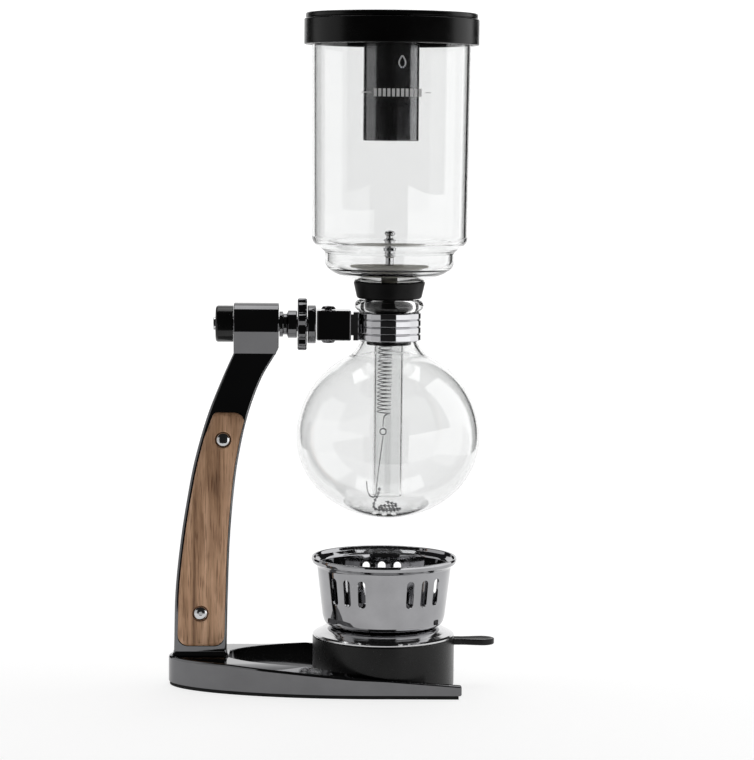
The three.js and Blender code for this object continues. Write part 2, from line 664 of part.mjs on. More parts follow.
// ---------------------------------------------------------------- stopper and upper bowl
function makeStopper() {
  const { flangeR, flangeBottomR, flangeZ, topZ, plugR, tipR, tipZ } = STOPPER;
  const bore = BOWL.tubeR + GAP;
  return turnedRing([
    [bore, tipZ], [tipR - 0.6, tipZ], [tipR, tipZ + 0.6], [plugR, flangeZ - 1], [plugR, flangeZ],
    [flangeBottomR, flangeZ], [flangeR, topZ - 2], [flangeR, topZ], [flangeR - 0.6, topZ],
    [bore + 2.8, BOWL.tubeTopZ + 0.2], [bore, BOWL.tubeTopZ - 4],
  ]);
}
place(glassAxis, "stopper", makeStopper(), rubber());

function bowlProfile() {
  const b = BOWL;
  const w = b.wall;
  const outer = [
    [b.tubeR, b.tubeEndZ], [b.tubeR, b.tubeTopZ - 3.4], [b.tubeR + 2.9, b.tubeTopZ + 0.6],
    [b.seatR, b.seatZ], [b.slopeR, b.slopeZ],
    ...arc(b.lowerR - 5.5, b.lowerZ, 5.5, 5.5, -45, 0, 2),
    [b.lowerR, b.lowerTopZ], [b.lowerR + 2.7, b.lowerTopZ + 2.4],
    ...arc(b.stepR - 4.4, b.stepZ - 3.6, 4.4, 4.4, -60, 0, 3),
    [b.stepR, b.stepZ], [b.rimR, b.rimZ - 1], [b.rimR - 0.6, b.rimZ],
  ];
  const inner = [
    [b.rimR - w + 0.4, b.rimZ], [b.rimR - w, b.rimZ - 1], [b.stepR - w, b.stepZ],
    ...arc(b.stepR - 4.4, b.stepZ - 3.6, 2.4, 2.4, 0, -60, 2),
    [b.lowerR + 0.9, b.lowerTopZ + 3.4], [b.lowerR - w, b.lowerTopZ + 0.8],
    ...arc(b.lowerR - 5.5, b.lowerZ, 3.5, 3.5, 0, -45, 2),
    [b.slopeR - 0.6, b.slopeZ + 2.2], [b.seatR - 0.6, b.seatZ + 2.2], [b.tubeBoreR + 2.4, b.tubeTopZ + 2.8],
    [b.tubeBoreR, b.tubeTopZ - 1.5], [b.tubeBoreR, b.tubeEndZ],
  ];
  return [...outer, ...inner];
}
place(glassAxis, "upper_bowl", turnedRing(bowlProfile()), clearGlass());

// ---------------------------------------------------------------- filter, spring, hook and chain
const { discR, hubR, hubZ, z0: discZ0, z1: discZ1 } = FILTER;
place(glassAxis, "filter_disc", turned([
  [0, hubZ], [hubR - 0.8, hubZ], [hubR, hubZ + 1], [hubR, discZ0], [discR - 0.5, discZ0],
  [discR, discZ0 + 0.7], [discR, discZ1 - 0.4], [discR - 0.6, discZ1], [0, discZ1],
]), cotton());

const { r: ballR, halfHeight, z: ballZ, startAngle } = FILTER_BALL;
place(glassAxis, "filter_knob", turned([
  [0, FILTER_POST[0][1]], ...FILTER_POST, ...arc(0, ballZ, ballR, halfHeight, startAngle, 90, 6),
], COARSE), steel());

// Close-wound coil, leaning in the tube, with a straight tail down its middle.
function makeSpring() {
  const turns = (SPRING.topZ - SPRING.endZ) / SPRING.pitch;
  const perTurn = 5;
  const count = Math.round(turns * perTurn);
  const points = Array.from({ length: count + 1 }, (_, i) => {
    const t = i / count;
    const a = 2 * Math.PI * turns * t;
    const lean = lerp(SPRING.topLean, SPRING.endLean, t);
    return [lean + SPRING.r * Math.cos(a), SPRING.r * Math.sin(a), lerp(SPRING.topZ, SPRING.endZ, t)];
  });
  points.push([SPRING.endLean + 1, 0.6, SPRING.endZ - 1.2], [SPRING.endLean, 0, SPRING.endZ - 3]);
  points.push([PULL_RING.x, 0, PULL_RING.z + PULL_RING.r + 2 * PULL_RING.wireR + GAP]);
  return wire(points, SPRING.wireR, count + 6, 3);
}
place(glassAxis, "filter_spring", makeSpring(), steel());

const hangerEnd = [SPRING.topLean, 0, SPRING.topZ + 1];
place(glassAxis, "spring_hanger", wire([...HANGER.path, hangerEnd], HANGER.r, 6), steel());

const { r: ringR, wireR: ringWireR, x: ringX, z: ringZ } = PULL_RING;
const pullRing = new THREE.TorusGeometry(ringR, ringWireR, 6, 16).rotateX(Math.PI / 2);
place(glassAxis, "pull_ring", pullRing.translate(ringX, 0, ringZ), steel());

const hookStart = [ringX, 0, ringZ - ringR - 2 * ringWireR - GAP];
place(glassAxis, "pull_hook", wire([hookStart, ...HOOK.path], HOOK.r, 22, 5), steel());

place(glassAxis, "bead_chain", wire(CHAIN.path, CHAIN.r, 44, 5), steel());

// ---------------------------------------------------------------- lid
place(glassAxis, "lid_cap", turned([
  [0, LID.plateZ], [LID.tubeR + GAP, LID.plateZ], [LID.boreR, LID.plateZ], [LID.boreR, LID.z0 + 0.6],
  [LID.boreR + 0.6, LID.z0], [LID.r - 0.8, LID.z0], [LID.r, LID.z0 + 0.8], [LID.r, LID.tierZ - 0.6],
  [LID.topR, LID.tierZ], [LID.topR, LID.topZ - 0.8], [LID.topR - 0.8, LID.topZ], [0, LID.topZ],
]), satinBlack());

place(glassAxis, "lid_tube", turnedRing([
  [LID.tubeBoreR, LID.tubeZ], [LID.tubeR - 0.5, LID.tubeZ], [LID.tubeR, LID.tubeZ + 0.5],
  [LID.tubeR, LID.plateZ - GAP], [LID.tubeBoreR, LID.plateZ - GAP],
]), satinBlack());

// ---------------------------------------------------------------- burner
function makeSleeve() {
  const { r, wall, topZ, floor, corner } = SLEEVE;
  const cup = turned([
    [0, 0], [r - corner, 0], [r, corner], [r, topZ], [r - wall, topZ], [r - wall, floor], [0, floor],
  ]);
  // Paddle tab with a narrow neck, just under the rim.
  const tip = TAB.tipX - BURNER_X;
  const root = TAB.rootX - BURNER_X;
  const neck = TAB.neckX - BURNER_X;
  const length = TAB.halfY + 1;
  const outline = [
    [root, -TAB.neckHalfY], [neck, -TAB.neckHalfY],
    ...arc(tip - length, 0, length, TAB.halfY, -100, 100, 10),
    [neck, TAB.neckHalfY], [root, TAB.neckHalfY],
  ];
  const shape = new THREE.Shape(outline.map((p) => new THREE.Vector2(...p)));
  const paddle = new THREE.ExtrudeGeometry(shape, { depth: TAB.z1 - TAB.z0, bevelEnabled: false });
  return join(cup, paddle.translate(0, 0, TAB.z0));
}
place(burnerAxis, "sleeve", makeSleeve(), satinBlack());

const fontZ = SLEEVE.floor + GAP;
place(burnerAxis, "font", turned([
  [0, fontZ], [FONT.r - FONT.corner, fontZ], [FONT.r, fontZ + FONT.corner],
  [FONT.r, FONT.topZ], [0, FONT.topZ],
]), steel());

const dome = COLLAR_DOME;
const rimZ = SLEEVE.topZ + GAP;
place(burnerAxis, "collar_dome", turnedRing([
  [dome.boreR, dome.z0], [dome.skirtR, dome.z0], [dome.skirtR, rimZ], [dome.brimR, rimZ],
  [dome.brimR, dome.brimZ],
  [dome.brimR - 1, dome.brimZ + 1], [dome.shoulderR, dome.shoulderZ],
  [(dome.shoulderR + dome.topR) / 2, lerp(dome.shoulderZ, dome.topZ, 0.75)],
  [dome.topR, dome.topZ], [dome.boreR, dome.topZ],
]), steel());

function makeShield() {
  const s = SHIELD;
  const w = s.wall;
  const foot = s.footZ + GAP;
  const bowl = turnedRing([
    [s.boreR, foot], [s.footR, foot], [s.lowR - 1.2, foot + 1.6], [s.lowR, s.lowZ], [s.bodyR, s.bodyZ],
    [s.rimR - 0.6, s.lipZ], [s.rimR, s.lipZ + 0.6], [s.rimR, s.rimZ], [s.rimR - 0.7, s.rimZ],
    [s.bodyR - w, s.bodyZ + 0.4], [s.lowR - w, s.lowZ + 0.4], [s.footR - 0.6, foot + w], [s.boreR, foot + w],
  ]);
  const { groups, perGroup, pitch, width, height, firstAngle } = SLOTS;
  const halfWidth = width / 2;
  const straight = height / 2 - halfWidth;
  const outline = [
    ...arc(0, straight, halfWidth, halfWidth, 0, 180, 2),
    ...arc(0, -straight, halfWidth, halfWidth, 180, 360, 2),
  ];
  const slots = [];
  for (let g = 0; g < groups; g++) {
    for (let k = 0; k < perGroup; k++) {
      const turn = firstAngle + (g * 360) / groups + (k - (perGroup - 1) / 2) * pitch;
      const tool = plateXZ(outline, -REACH, -REACH / 3).translate(0, 0, SLOTS.z);
      slots.push(tool.rotateZ(radians(turn)));
    }
  }
  return cut(bowl, ...slots);
}
place(burnerAxis, "wind_shield", makeShield(), tintedSteel());

const holder = WICK_HOLDER;
place(burnerAxis, "wick_holder", turnedRing([
  [holder.boreR, holder.z0], [holder.r, holder.z0], [holder.r, holder.shoulderZ],
  [holder.shoulderR, holder.shoulderZ + 0.8], [holder.tubeR, holder.tubeZ], [holder.tubeR, holder.topZ - 0.6],
  [holder.tubeR - 0.5, holder.topZ], [holder.boreR, holder.topZ],
], COARSE), steel());

place(burnerAxis, "wick", turned([
  [0, WICK.z0], [WICK.r, WICK.z0], [WICK.r, WICK.tipZ - WICK.tipRound], [WICK.tipR, WICK.tipZ],
  [0, WICK.tipZ],
], 16), cotton());

export default brewer;
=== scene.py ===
"""Looks of a table-top siphon coffee brewer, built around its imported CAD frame.

Shape code is in millimetres, measured from the axis of the glass. X runs from the stem towards the
burner's tab, -Y is the front, Z is up from the table. Blender's scene is in metres.
"""

import json
import math

import bmesh
import bpy
from mathutils import Matrix, Vector


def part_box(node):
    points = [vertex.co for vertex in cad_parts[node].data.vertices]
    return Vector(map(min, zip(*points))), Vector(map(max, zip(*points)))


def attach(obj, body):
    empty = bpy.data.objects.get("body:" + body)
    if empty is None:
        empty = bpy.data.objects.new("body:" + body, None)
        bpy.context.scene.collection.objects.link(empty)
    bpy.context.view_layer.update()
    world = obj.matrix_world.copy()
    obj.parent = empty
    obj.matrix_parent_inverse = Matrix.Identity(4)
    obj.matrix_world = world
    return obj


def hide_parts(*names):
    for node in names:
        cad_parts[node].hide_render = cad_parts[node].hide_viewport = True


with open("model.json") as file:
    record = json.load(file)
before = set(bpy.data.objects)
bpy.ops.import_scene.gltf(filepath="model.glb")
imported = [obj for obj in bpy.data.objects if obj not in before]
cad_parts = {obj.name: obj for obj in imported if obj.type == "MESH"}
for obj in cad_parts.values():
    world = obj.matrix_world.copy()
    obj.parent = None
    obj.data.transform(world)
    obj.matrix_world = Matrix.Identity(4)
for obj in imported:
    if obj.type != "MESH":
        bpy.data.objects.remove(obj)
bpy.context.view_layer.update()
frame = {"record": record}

MM = 0.001
SIDES = 144  # round a large turned piece
FEW_SIDES = 48  # round a small one
TAU = 2 * math.pi
GAP = 0.3  # clearance between fitted pieces


# ---------------------------------------------------------------- places taken from the frame
def node_box(node):
    low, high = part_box(node)
    return low / MM, high / MM


def node_middle(node):
    low, high = node_box(node)
    return (low + high) / 2


GLASS_X = node_middle("globe").x
BURNER_X = node_middle("font").x - GLASS_X
ARM_Z = node_middle("collar").z
NODE_BODY = {n: body for body, nodes in frame["record"]["behaviour"]["bodies"].items() for n in nodes}
NODE_SLOT = {part["node"]: part["material_slot"] for part in frame["record"]["subparts"]}


def left_right(node):
    low, high = node_box(node)
    return low.x - GLASS_X, high.x - GLASS_X


def bottom_top(node):
    low, high = node_box(node)
    return low.z, high.z


# ---------------------------------------------------------------- materials
class Finish:
    """A node material around one Principled shader, with its detail driven by object coordinates."""

    def __init__(self, name, **constants):
        self.material = bpy.data.materials.new(name)
        self.material.use_nodes = True
        self.nodes = self.material.node_tree.nodes
        self.links = self.material.node_tree.links
        self.shader = self.nodes["Principled BSDF"]
        for socket, value in constants.items():
            self.shader.inputs[socket.replace("_", " ")].default_value = value
        self.place = self.nodes.new("ShaderNodeTexCoord").outputs["Object"]

    def link(self, source, socket):
        self.links.new(source, self.shader.inputs[socket])

    def stretched(self, x, y, z):
        mapping = self.nodes.new("ShaderNodeMapping")
        mapping.inputs["Scale"].default_value = (x, y, z)
        self.links.new(self.place, mapping.inputs["Vector"])
        return mapping.outputs["Vector"]

    def noise(self, scale, detail=4.0, roughness=0.5, distortion=0.0, place=None):
        noise = self.nodes.new("ShaderNodeTexNoise")
        noise.inputs["Scale"].default_value = scale
        noise.inputs["Detail"].default_value = detail
        noise.inputs["Roughness"].default_value = roughness
        noise.inputs["Distortion"].default_value = distortion
        self.links.new(place or self.place, noise.inputs["Vector"])
        return noise.outputs["Fac"]

    def waves(self, scale, direction, distortion=0.0):
        waves = self.nodes.new("ShaderNodeTexWave")
        waves.bands_direction = direction
        waves.inputs["Scale"].default_value = scale
        waves.inputs["Distortion"].default_value = distortion
        self.links.new(self.place, waves.inputs["Vector"])
        return waves.outputs["Fac"]

    def ramp(self, source, *stops):
        ramp = self.nodes.new("ShaderNodeValToRGB")
        elements = ramp.color_ramp.elements
        while len(elements) < len(stops):
            elements.new(0.5)
        for element, (position, colour) in zip(elements, stops):
            element.position = position
            element.color = (*colour, 1)
        self.links.new(source, ramp.inputs["Fac"])
        return ramp.outputs["Color"]

    def between(self, source, low, high, start=0.3, end=0.7):
        spread = self.nodes.new("ShaderNodeMapRange")
        spread.inputs["From Min"].default_value = start
        spread.inputs["From Max"].default_value = end
        spread.inputs["To Min"].default_value = low
        spread.inputs["To Max"].default_value = high
        self.links.new(source, spread.inputs["Value"])
        return spread.outputs["Result"]

    def multiplied(self, first, second, factor):
        mix = self.nodes.new("ShaderNodeMix")
        mix.data_type = "RGBA"
        mix.blend_type = "MULTIPLY"
        mix.inputs["Factor"].default_value = factor
        self.links.new(first, mix.inputs[6])
        self.links.new(second, mix.inputs[7])
        return mix.outputs[2]

    def bump(self, height, strength, distance):
        bump = self.nodes.new("ShaderNodeBump")
        bump.inputs["Strength"].default_value = strength
        bump.inputs["Distance"].default_value = distance
        self.links.new(height, bump.inputs["Height"])
        self.link(bump.outputs["Normal"], "Normal")
        return self


def grey(value, tint=0.0):
    return (value, value, value * (1 + tint))


def polished(name, dark, light, smooth, rough, tint=0.03, ripple=0.02):
    """Plated or polished metal: slow changes of tone, faint wiping marks, a trace of ripple."""
    finish = Finish(name, Metallic=1.0)
    tone = finish.ramp(finish.noise(60), (0.3, grey(dark, tint)), (0.7, grey(light, tint)))
    finish.link(tone, "Base Color")
    marks = finish.noise(240, 8, 0.65, place=finish.stretched(1, 1, 0.35))
    finish.link(finish.between(marks, smooth, rough), "Roughness")
    return finish.bump(finish.noise(420, 2), ripple, 0.0002).material


def coated(name, dark, light, smooth, rough, grain, depth, specular=0.5):
    """Satin coating or moulding: fine grain over a nearly even black."""
    finish = Finish(name, Specular_IOR_Level=specular)
    finish.link(finish.ramp(finish.noise(90, 6), (0.35, grey(dark)), (0.65, grey(light))), "Base Color")
    finish.link(finish.between(finish.noise(160, 6), smooth, rough), "Roughness")
    return finish.bump(finish.noise(grain, 3, 0.6), 0.25, depth).material


def walnut_finish():
    finish = Finish("walnut", Specular_IOR_Level=0.35)
    grain = finish.stretched(1, 1, 0.07)
    streaks = finish.noise(150, 8, 0.62, 0.6, grain)
    tone = finish.ramp(
        streaks,
        (0.30, (0.110, 0.052, 0.028)),
        (0.43, (0.450, 0.262, 0.150)),
        (0.55, (0.670, 0.415, 0.258)),
        (0.70, (0.880, 0.590, 0.392)),
    )
    pores = finish.noise(1500, 3, 0.5, 0.2, finish.stretched(1, 1, 0.045))
    pore_tone = finish.ramp(pores, (0.34, (0.45, 0.38, 0.33)), (0.46, (1, 1, 1)))
    patches = finish.ramp(finish.noise(38, 3), (0.3, (0.78, 0.74, 0.72)), (0.7, (1.12, 1.1, 1.08)))
    finish.link(finish.multiplied(finish.multiplied(tone, pore_tone, 0.8), patches, 1.0), "Base Color")
    finish.link(finish.between(streaks, 0.42, 0.62), "Roughness")
    return finish.bump(pores, 0.35, 0.0003).material


def glass_finish():
    finish = Finish("glass", Transmission_Weight=1.0, IOR=1.47)
    tint = finish.ramp(finish.noise(25, 3), (0.3, (0.878, 0.882, 0.881)), (0.7, (0.896, 0.899, 0.898)))
    finish.link(tint, "Base Color")
    finish.link(finish.between(finish.noise(320, 6), 0.0, 0.012), "Roughness")
    return finish.bump(finish.noise(55, 1), 0.02, 0.0004).material


def cotton_finish():
    finish = Finish("cotton", Roughness=0.95, Specular_IOR_Level=0.1)
    braid = finish.waves(900, "DIAGONAL", 1.5)
    finish.link(finish.ramp(braid, (0.2, (0.62, 0.58, 0.48)), (0.7, (0.86, 0.84, 0.77))), "Base Color")
    return finish.bump(braid, 0.7, 0.0004).material


def enamel_finish():
    finish = Finish("enamel", Specular_IOR_Level=0.4)
    finish.link(finish.ramp(finish.noise(500, 4), (0.3, grey(0.82)), (0.7, grey(0.95))), "Base Color")
    finish.link(finish.between(finish.noise(900, 4), 0.35, 0.55), "Roughness")
    return finish.bump(finish.noise(2500, 2), 0.2, 0.00005).material


MATERIALS = {
    "black_nickel": polished("black_nickel", 0.135, 0.155, 0.04, 0.085),
    "steel": polished("steel", 0.52, 0.62, 0.07, 0.16, 0.01),
    "tinted_steel": polished("tinted_steel", 0.30, 0.36, 0.03, 0.075),
    "satin_black": coated("satin_black", 0.004, 0.006, 0.12, 0.2, 1400, 0.00002, 0.35),
    "sleeve_black": coated("sleeve_black", 0.0025, 0.0045, 0.24, 0.3, 1600, 0.00002, 0.24),
    "lid_black": coated("lid_black", 0.0025, 0.004, 0.22, 0.28, 1600, 0.00002, 0.2),
    "stopper_rubber": coated("stopper_rubber", 0.003, 0.005, 0.4, 0.5, 1800, 0.0001, 0.12),
    "sole_rubber": coated("sole_rubber", 0.003, 0.006, 0.6, 0.8, 1800, 0.0002, 0.2),
    "walnut": walnut_finish(),
    "glass": glass_finish(),
    "cotton": cotton_finish(),
}
ENAMEL = enamel_finish()
BRIGHT_NICKEL = polished("bright_nickel", 0.46, 0.54, 0.04, 0.08)
TUBE_BLACK = polished("tube_black", 0.19, 0.23, 0.16, 0.21, 0.02, 0.004)


# ---------------------------------------------------------------- points and outlines
def lerp(a, b, t):
    return a + (b - a) * t


def smoothstep(value, low, high):
    t = min(1.0, max(0.0, (value - low) / (high - low)))
    return t * t * (3 - 2 * t)


def arc(cx, cy, rx, ry, start, end, steps):
    """Points on an elliptical arc, angles in degrees."""
    angles = [math.radians(lerp(start, end, i / steps)) for i in range(steps + 1)]
    return [(cx + rx * math.cos(a), cy + ry * math.sin(a)) for a in angles]


def through(points, steps):
    """Points along a smooth curve that passes through the given ones, of any dimension."""
    points = [Vector(p) for p in points]
    ends = [2 * points[0] - points[1], *points, 2 * points[-1] - points[-2]]
    found = []
    for i in range(1, len(ends) - 2):
        a, b, c, d = ends[i - 1 : i + 3]
        square = 2 * a - 5 * b + 4 * c - d
        cube = 3 * b - a - 3 * c + d
        for k in range(steps):
            t = k / steps
            found.append(0.5 * (2 * b + (c - a) * t + square * t**2 + cube * t**3))
    return [*found, points[-1]]


def eased(corners, closed=False, steps=None):
    """Polyline of (x, y) or (x, y, radius) corners, with each corner that has a radius rounded off."""
    points = []
    count = len(corners)
    for i, corner in enumerate(corners):
        here = Vector(corner[:2])
        radius = corner[2] if len(corner) > 2 else 0
        if not radius or (not closed and i in (0, count - 1)):
            points.append(here)
            continue
        before = Vector(corners[i - 1][:2]) - here
        after = Vector(corners[(i + 1) % count][:2]) - here
        corner_angle = before.angle(after)
        reach = radius / math.tan(corner_angle / 2)
        longest = 0.49 * min(before.length, after.length)
        radius *= min(1, longest / reach)
        reach = min(reach, longest)
        start = here + before.normalized() * reach
        end = here + after.normalized() * reach
        centre = here + (before.normalized() + after.normalized()).normalized() * math.hypot(radius, reach)
        count_here = steps or max(2, math.ceil(math.degrees(math.pi - corner_angle) / 14))
        for k in range(count_here + 1):
            t = k / count_here
            turn = (start - centre).angle_signed(end - centre) * -t
            points.append(centre + Matrix.Rotation(turn, 2) @ (start - centre))
    return [tuple(p) for p in points]


# ---------------------------------------------------------------- solids
AXES = {
    "z": lambda x, y, z: (x, y, z),
    "x": lambda x, y, z: (z, y, -x),
    "front": lambda x, y, z: (x, -z, y),
    "back": lambda x, y, z: (x, z, y),
}


def solid(points, faces):
    """A closed mesh object whose faces point out."""
    mesh = bpy.data.meshes.new("solid")
    mesh.from_pydata([Vector(p) * MM for p in points], [], faces)
    shape = bmesh.new()
    shape.from_mesh(mesh)
    bmesh.ops.recalc_face_normals(shape, faces=shape.faces)
    shape.to_mesh(mesh)
    shape.free()
    made = bpy.data.objects.new("solid", mesh)
    bpy.context.scene.collection.objects.link(made)
    return made


def turned(profile, sides=SIDES, closed=False, axis="z", at=(0, 0, 0)):
    """Profile of (radius, height) turned about an axis. An open profile starts and ends on the axis."""
    points = []
    rows = []
    for radius, height in profile:
        if radius < 1e-6:
            rows.append([len(points)] * sides)
            points.append((0, 0, height))
            continue
        rows.append(list(range(len(points), len(points) + sides)))
        angles = [TAU * i / sides for i in range(sides)]
        points += [(radius * math.cos(a), radius * math.sin(a), height) for a in angles]
    faces = []
    pairs = list(zip(rows, rows[1:])) + ([(rows[-1], rows[0])] if closed else [])
    for low, high in pairs:
        for i in range(sides):
            j = (i + 1) % sides
            corners = dict.fromkeys((low[i], low[j], high[j], high[i]))
            if len(corners) > 2:
                faces.append(tuple(corners))
    turn = AXES[axis]
    offset = Vector(at)
    return solid([Vector(turn(*p)) + offset for p in points], faces)


def lofted(rings):
    """Matching closed rings of points joined in order, with flat ends."""
    size = len(rings[0])
    faces = [tuple(range(size)), tuple(range((len(rings) - 1) * size, len(rings) * size))]
    for r in range(len(rings) - 1):
        for i in range(size):
            j = (i + 1) % size
            faces.append((r * size + i, r * size + j, (r + 1) * size + j, (r + 1) * size + i))
    return solid([p for ring in rings for p in ring], faces)


def wire(points, radius, sides=10):
    """A round wire along a line of points, domed at both ends."""
    points = [Vector(p) for p in points]
    dome = [0.55, 0.9, 1]
    side = Vector((0, 0, 1)) if abs((points[1] - points[0]).normalized().z) < 0.9 else Vector((1, 0, 0))
    rings = []
    last = len(points) - 1
    for i, point in enumerate(points):
        along = (points[min(i + 1, last)] - points[max(i - 1, 0)]).normalized()
        side = (side - along * side.dot(along)).normalized()
        up = along.cross(side)
        sizes = dome if i == 0 else dome[::-1] if i == last else [1]
        for k, size in enumerate(sizes):
            back = 0
            if i == 0:
                back = -radius * (1 - k / 2)
            elif i == last:
                back = radius * k / 2
            centre = point + along * back
            ring = [
                centre + size * radius * (side * math.cos(TAU * s / sides) + up * math.sin(TAU * s / sides))
                for s in range(sides)
            ]
            rings.append(ring)
    return lofted(rings)


def block(x0, y0, z0, x1, y1, z1, edge=0.0):
    """A box, with its edges and corners rounded when edge is given."""
    if not edge:
        outline = [(y0, z0), (y1, z0), (y1, z1), (y0, z1)]
        return lofted([[(x, y, z) for y, z in outline] for x in (x0, x1)])
    rings = []
    quarter = 4
    for x_end, sign in ((x0, 1), (x1, -1)):
        row = []
        for k in range(quarter + 1):
            a = math.pi / 2 * k / quarter
            inset = edge * (1 - math.sin(a))
            x = x_end + sign * edge * (1 - math.cos(a))
            radius = max(0.05, edge - inset * 0.5)
            ya, yb, za, zb = y0 + inset, y1 - inset, z0 + inset, z1 - inset
            outline = eased([(ya, za, radius), (yb, za, radius), (yb, zb, radius), (ya, zb, radius)], True, 5)
            row.append([(x, y, z) for y, z in outline])
        rings += row if sign > 0 else row[::-1]
    return lofted(rings)


def plate(outline, y0, y1):
    """An outline in X and Z, extruded along Y."""
    return lofted([[(x, y, z) for x, z in outline] for y in (y0, y1)])


def combined(first, others, operation):
    for other in others:
        modifier = first.modifiers.new("combine", "BOOLEAN")
        modifier.operation = operation
        modifier.solver = "EXACT"
        modifier.object = other
    bpy.context.view_layer.update()
    result = bpy.data.meshes.new_from_object(first.evaluated_get(bpy.context.evaluated_depsgraph_get()))
    first.modifiers.clear()
    first.data = result
    for other in others:
        bpy.data.objects.remove(other)
    return first


def cut(first, *others):
    return combined(first, others, "DIFFERENCE")


def join(first, *others):
    return combined(first, others, "UNION")


def overlap(first, *others):
    return combined(first, others, "INTERSECT")


def gathered(first, *others):
    """Several loose solids kept as one piece."""
    shape = bmesh.new()
    for each in (first, *others):
        shape.from_mesh(each.data)
    shape.to_mesh(first.data)
    shape.free()
    for other in others:
        bpy.data.objects.remove(other)
    return first


def level(made):
    """Lets the large faces set the shading at their edges, so that flat faces look flat."""
    modifier = made.modifiers.new("level", "WEIGHTED_NORMAL")
    modifier.keep_sharp = True
    bpy.context.view_layer.update()
    result = bpy.data.meshes.new_from_object(made.evaluated_get(bpy.context.evaluated_depsgraph_get()))
    made.modifiers.clear()
    result.name = made.name
    made.data = result


def shown(name, node, made, sharp=32, material=None, stands_for=True):
    """Names a solid, smooths it, gives it its finish and lets it ride with its CAD node's body."""
    made.name = name
    made.data.name = name
    made.data.transform(Matrix.Translation((GLASS_X * MM, 0, 0)))
    made.data.materials.clear()
    made.data.materials.append(material or MATERIALS[NODE_SLOT[node]])
    made.data.shade_smooth()
    made.data.set_sharp_from_angle(angle=math.radians(sharp))
    level(made)
    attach(made, NODE_BODY[node])
    if stands_for:
        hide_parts(node)


# ---------------------------------------------------------------- base and sole
NOSE_X, TIP_X = left_right("base")
OUTER_B = node_box("base")[1].y
SOLE_TOP = 1.8
SOLE_INSET = 0.7
SOLE_CLEARANCE = 0.15  # kept on each side of the joint between base and sole
PLATEAU_X = -87.0
PLATEAU_Z = bottom_top("base")[1]
TIP_Z = 7.1
OUTER_CENTRE_X = -5.0
INNER_CENTRE_X = -3.0
INNER_A = 85.0
INNER_B = 39.3
CROWN = 0.13
TIP_EDGE = 0.9


def base_top(x):
    if x < PLATEAU_X:
        return PLATEAU_Z
    return lerp(PLATEAU_Z, TIP_Z, (x - PLATEAU_X) / (TIP_X - PLATEAU_X))


def base_stations(inset, steps=120):
    """Matching outer and inner outline points from the front tip, round the nose, to the back tip."""
    outer_a = OUTER_CENTRE_X - NOSE_X - inset
    inner_a = INNER_A + inset
    inner_b = INNER_B + min(inset, 0.4)
    outer_b = OUTER_B - inset
    arm = [lerp(TIP_X - inset - TIP_EDGE, OUTER_CENTRE_X, i / 10) for i in range(10)]
    stations = [((x, -outer_b), (x, -inner_b)) for x in arm]
    for i in range(steps + 1):
        a = math.radians(lerp(270, 90, i / steps))
        c, s = math.cos(a), math.sin(a)
        stations.append(
            ((OUTER_CENTRE_X + outer_a * c, outer_b * s), (INNER_CENTRE_X + inner_a * c, inner_b * s))
        )
    return stations + [((x, outer_b), (x, inner_b)) for x in arm[::-1]]


def base_section(outer, inner, tuck=0.0, shift=0.0):
    """Cross-section of the bar between two outline points, drawn in by tuck and moved along X by shift."""
    outer, inner = Vector(outer), Vector(inner)
    width = (inner - outer).length
    across = (inner - outer) / width
    top = base_top(outer.x)
    flatness = 1 - smoothstep(inner.x, PLATEAU_X + 2, PLATEAU_X + 22)
    inner_top = lerp(min(PLATEAU_Z, top + CROWN * width), PLATEAU_Z, flatness)
    floor = SOLE_TOP + SOLE_CLEARANCE
    big = min(1.7, width * 0.42) - tuck * 0.5
    small = min(0.5, width * 0.12)
    corners = [
        (tuck, floor + tuck, 0.3),
        (tuck, top - tuck, big),
        (width * 0.5, lerp(top, inner_top, 0.5) - tuck),
        (width - tuck, inner_top - tuck, small),
        (width - tuck, floor + tuck, 0.3),
    ]
    section = eased(corners, True, 5)
    return [(*(outer + across * s + Vector((shift, 0))), z) for s, z in section]


def make_base():
    stations = base_stations(0)
    rings = [base_section(*s) for s in stations]
    quarter = 4
    for end in (0, -1):
        extra = []
        for k in range(1, quarter + 1):
            a = math.pi / 2 * k / quarter
            tuck = TIP_EDGE * (1 - math.cos(a))
            extra.append(base_section(*stations[end], tuck, TIP_EDGE * math.sin(a)))
        rings = extra[::-1] + rings if end == 0 else rings + extra
    return lofted(rings)


def make_sole():
    rings = []
    for outer, inner in base_stations(SOLE_INSET):
        outer, inner = Vector(outer), Vector(inner)
        width = (inner - outer).length
        across = (inner - outer) / width
        edge = min(0.25, width * 0.2)
        top = SOLE_TOP - SOLE_CLEARANCE
        section = eased([(0, 0, edge), (0, top, edge), (width, top, edge), (width, 0, edge)], True, 2)
        rings.append([(*(outer + across * s), z) for s, z in section])
    return lofted(rings)


BOLT_X = [node_middle(n).x - GLASS_X for n in ("stem_bolt_1", "stem_bolt_2")]
BOLT_HEAD_R, BOLT_R = 4.6, 2.5
BOLT_HEAD_HEIGHT = 2.9
BOLT_WELL_TOP = 4.6
SOCKET_R, SOCKET_DEPTH = 2.0, 1.6


def bar(radius, start, end, sides=FEW_SIDES, axis="z", at=(0, 0, 0)):
    """A plain bar from start to end along an axis."""
    return turned([(0, start), (radius, start), (radius, end), (0, end)], sides, axis=axis, at=at)


def upright(radius, z0, z1, x=0.0, sides=FEW_SIDES):
    return bar(radius, z0, z1, sides, at=(x, 0, 0))


def on_arm(profile, sides=96, closed=False):
    return turned(profile, sides, closed, "x", (0, 0, ARM_Z))


def arm_bar(radius, x0, x1, sides=FEW_SIDES):
    return bar(radius, x0, x1, sides, "x", (0, 0, ARM_Z))


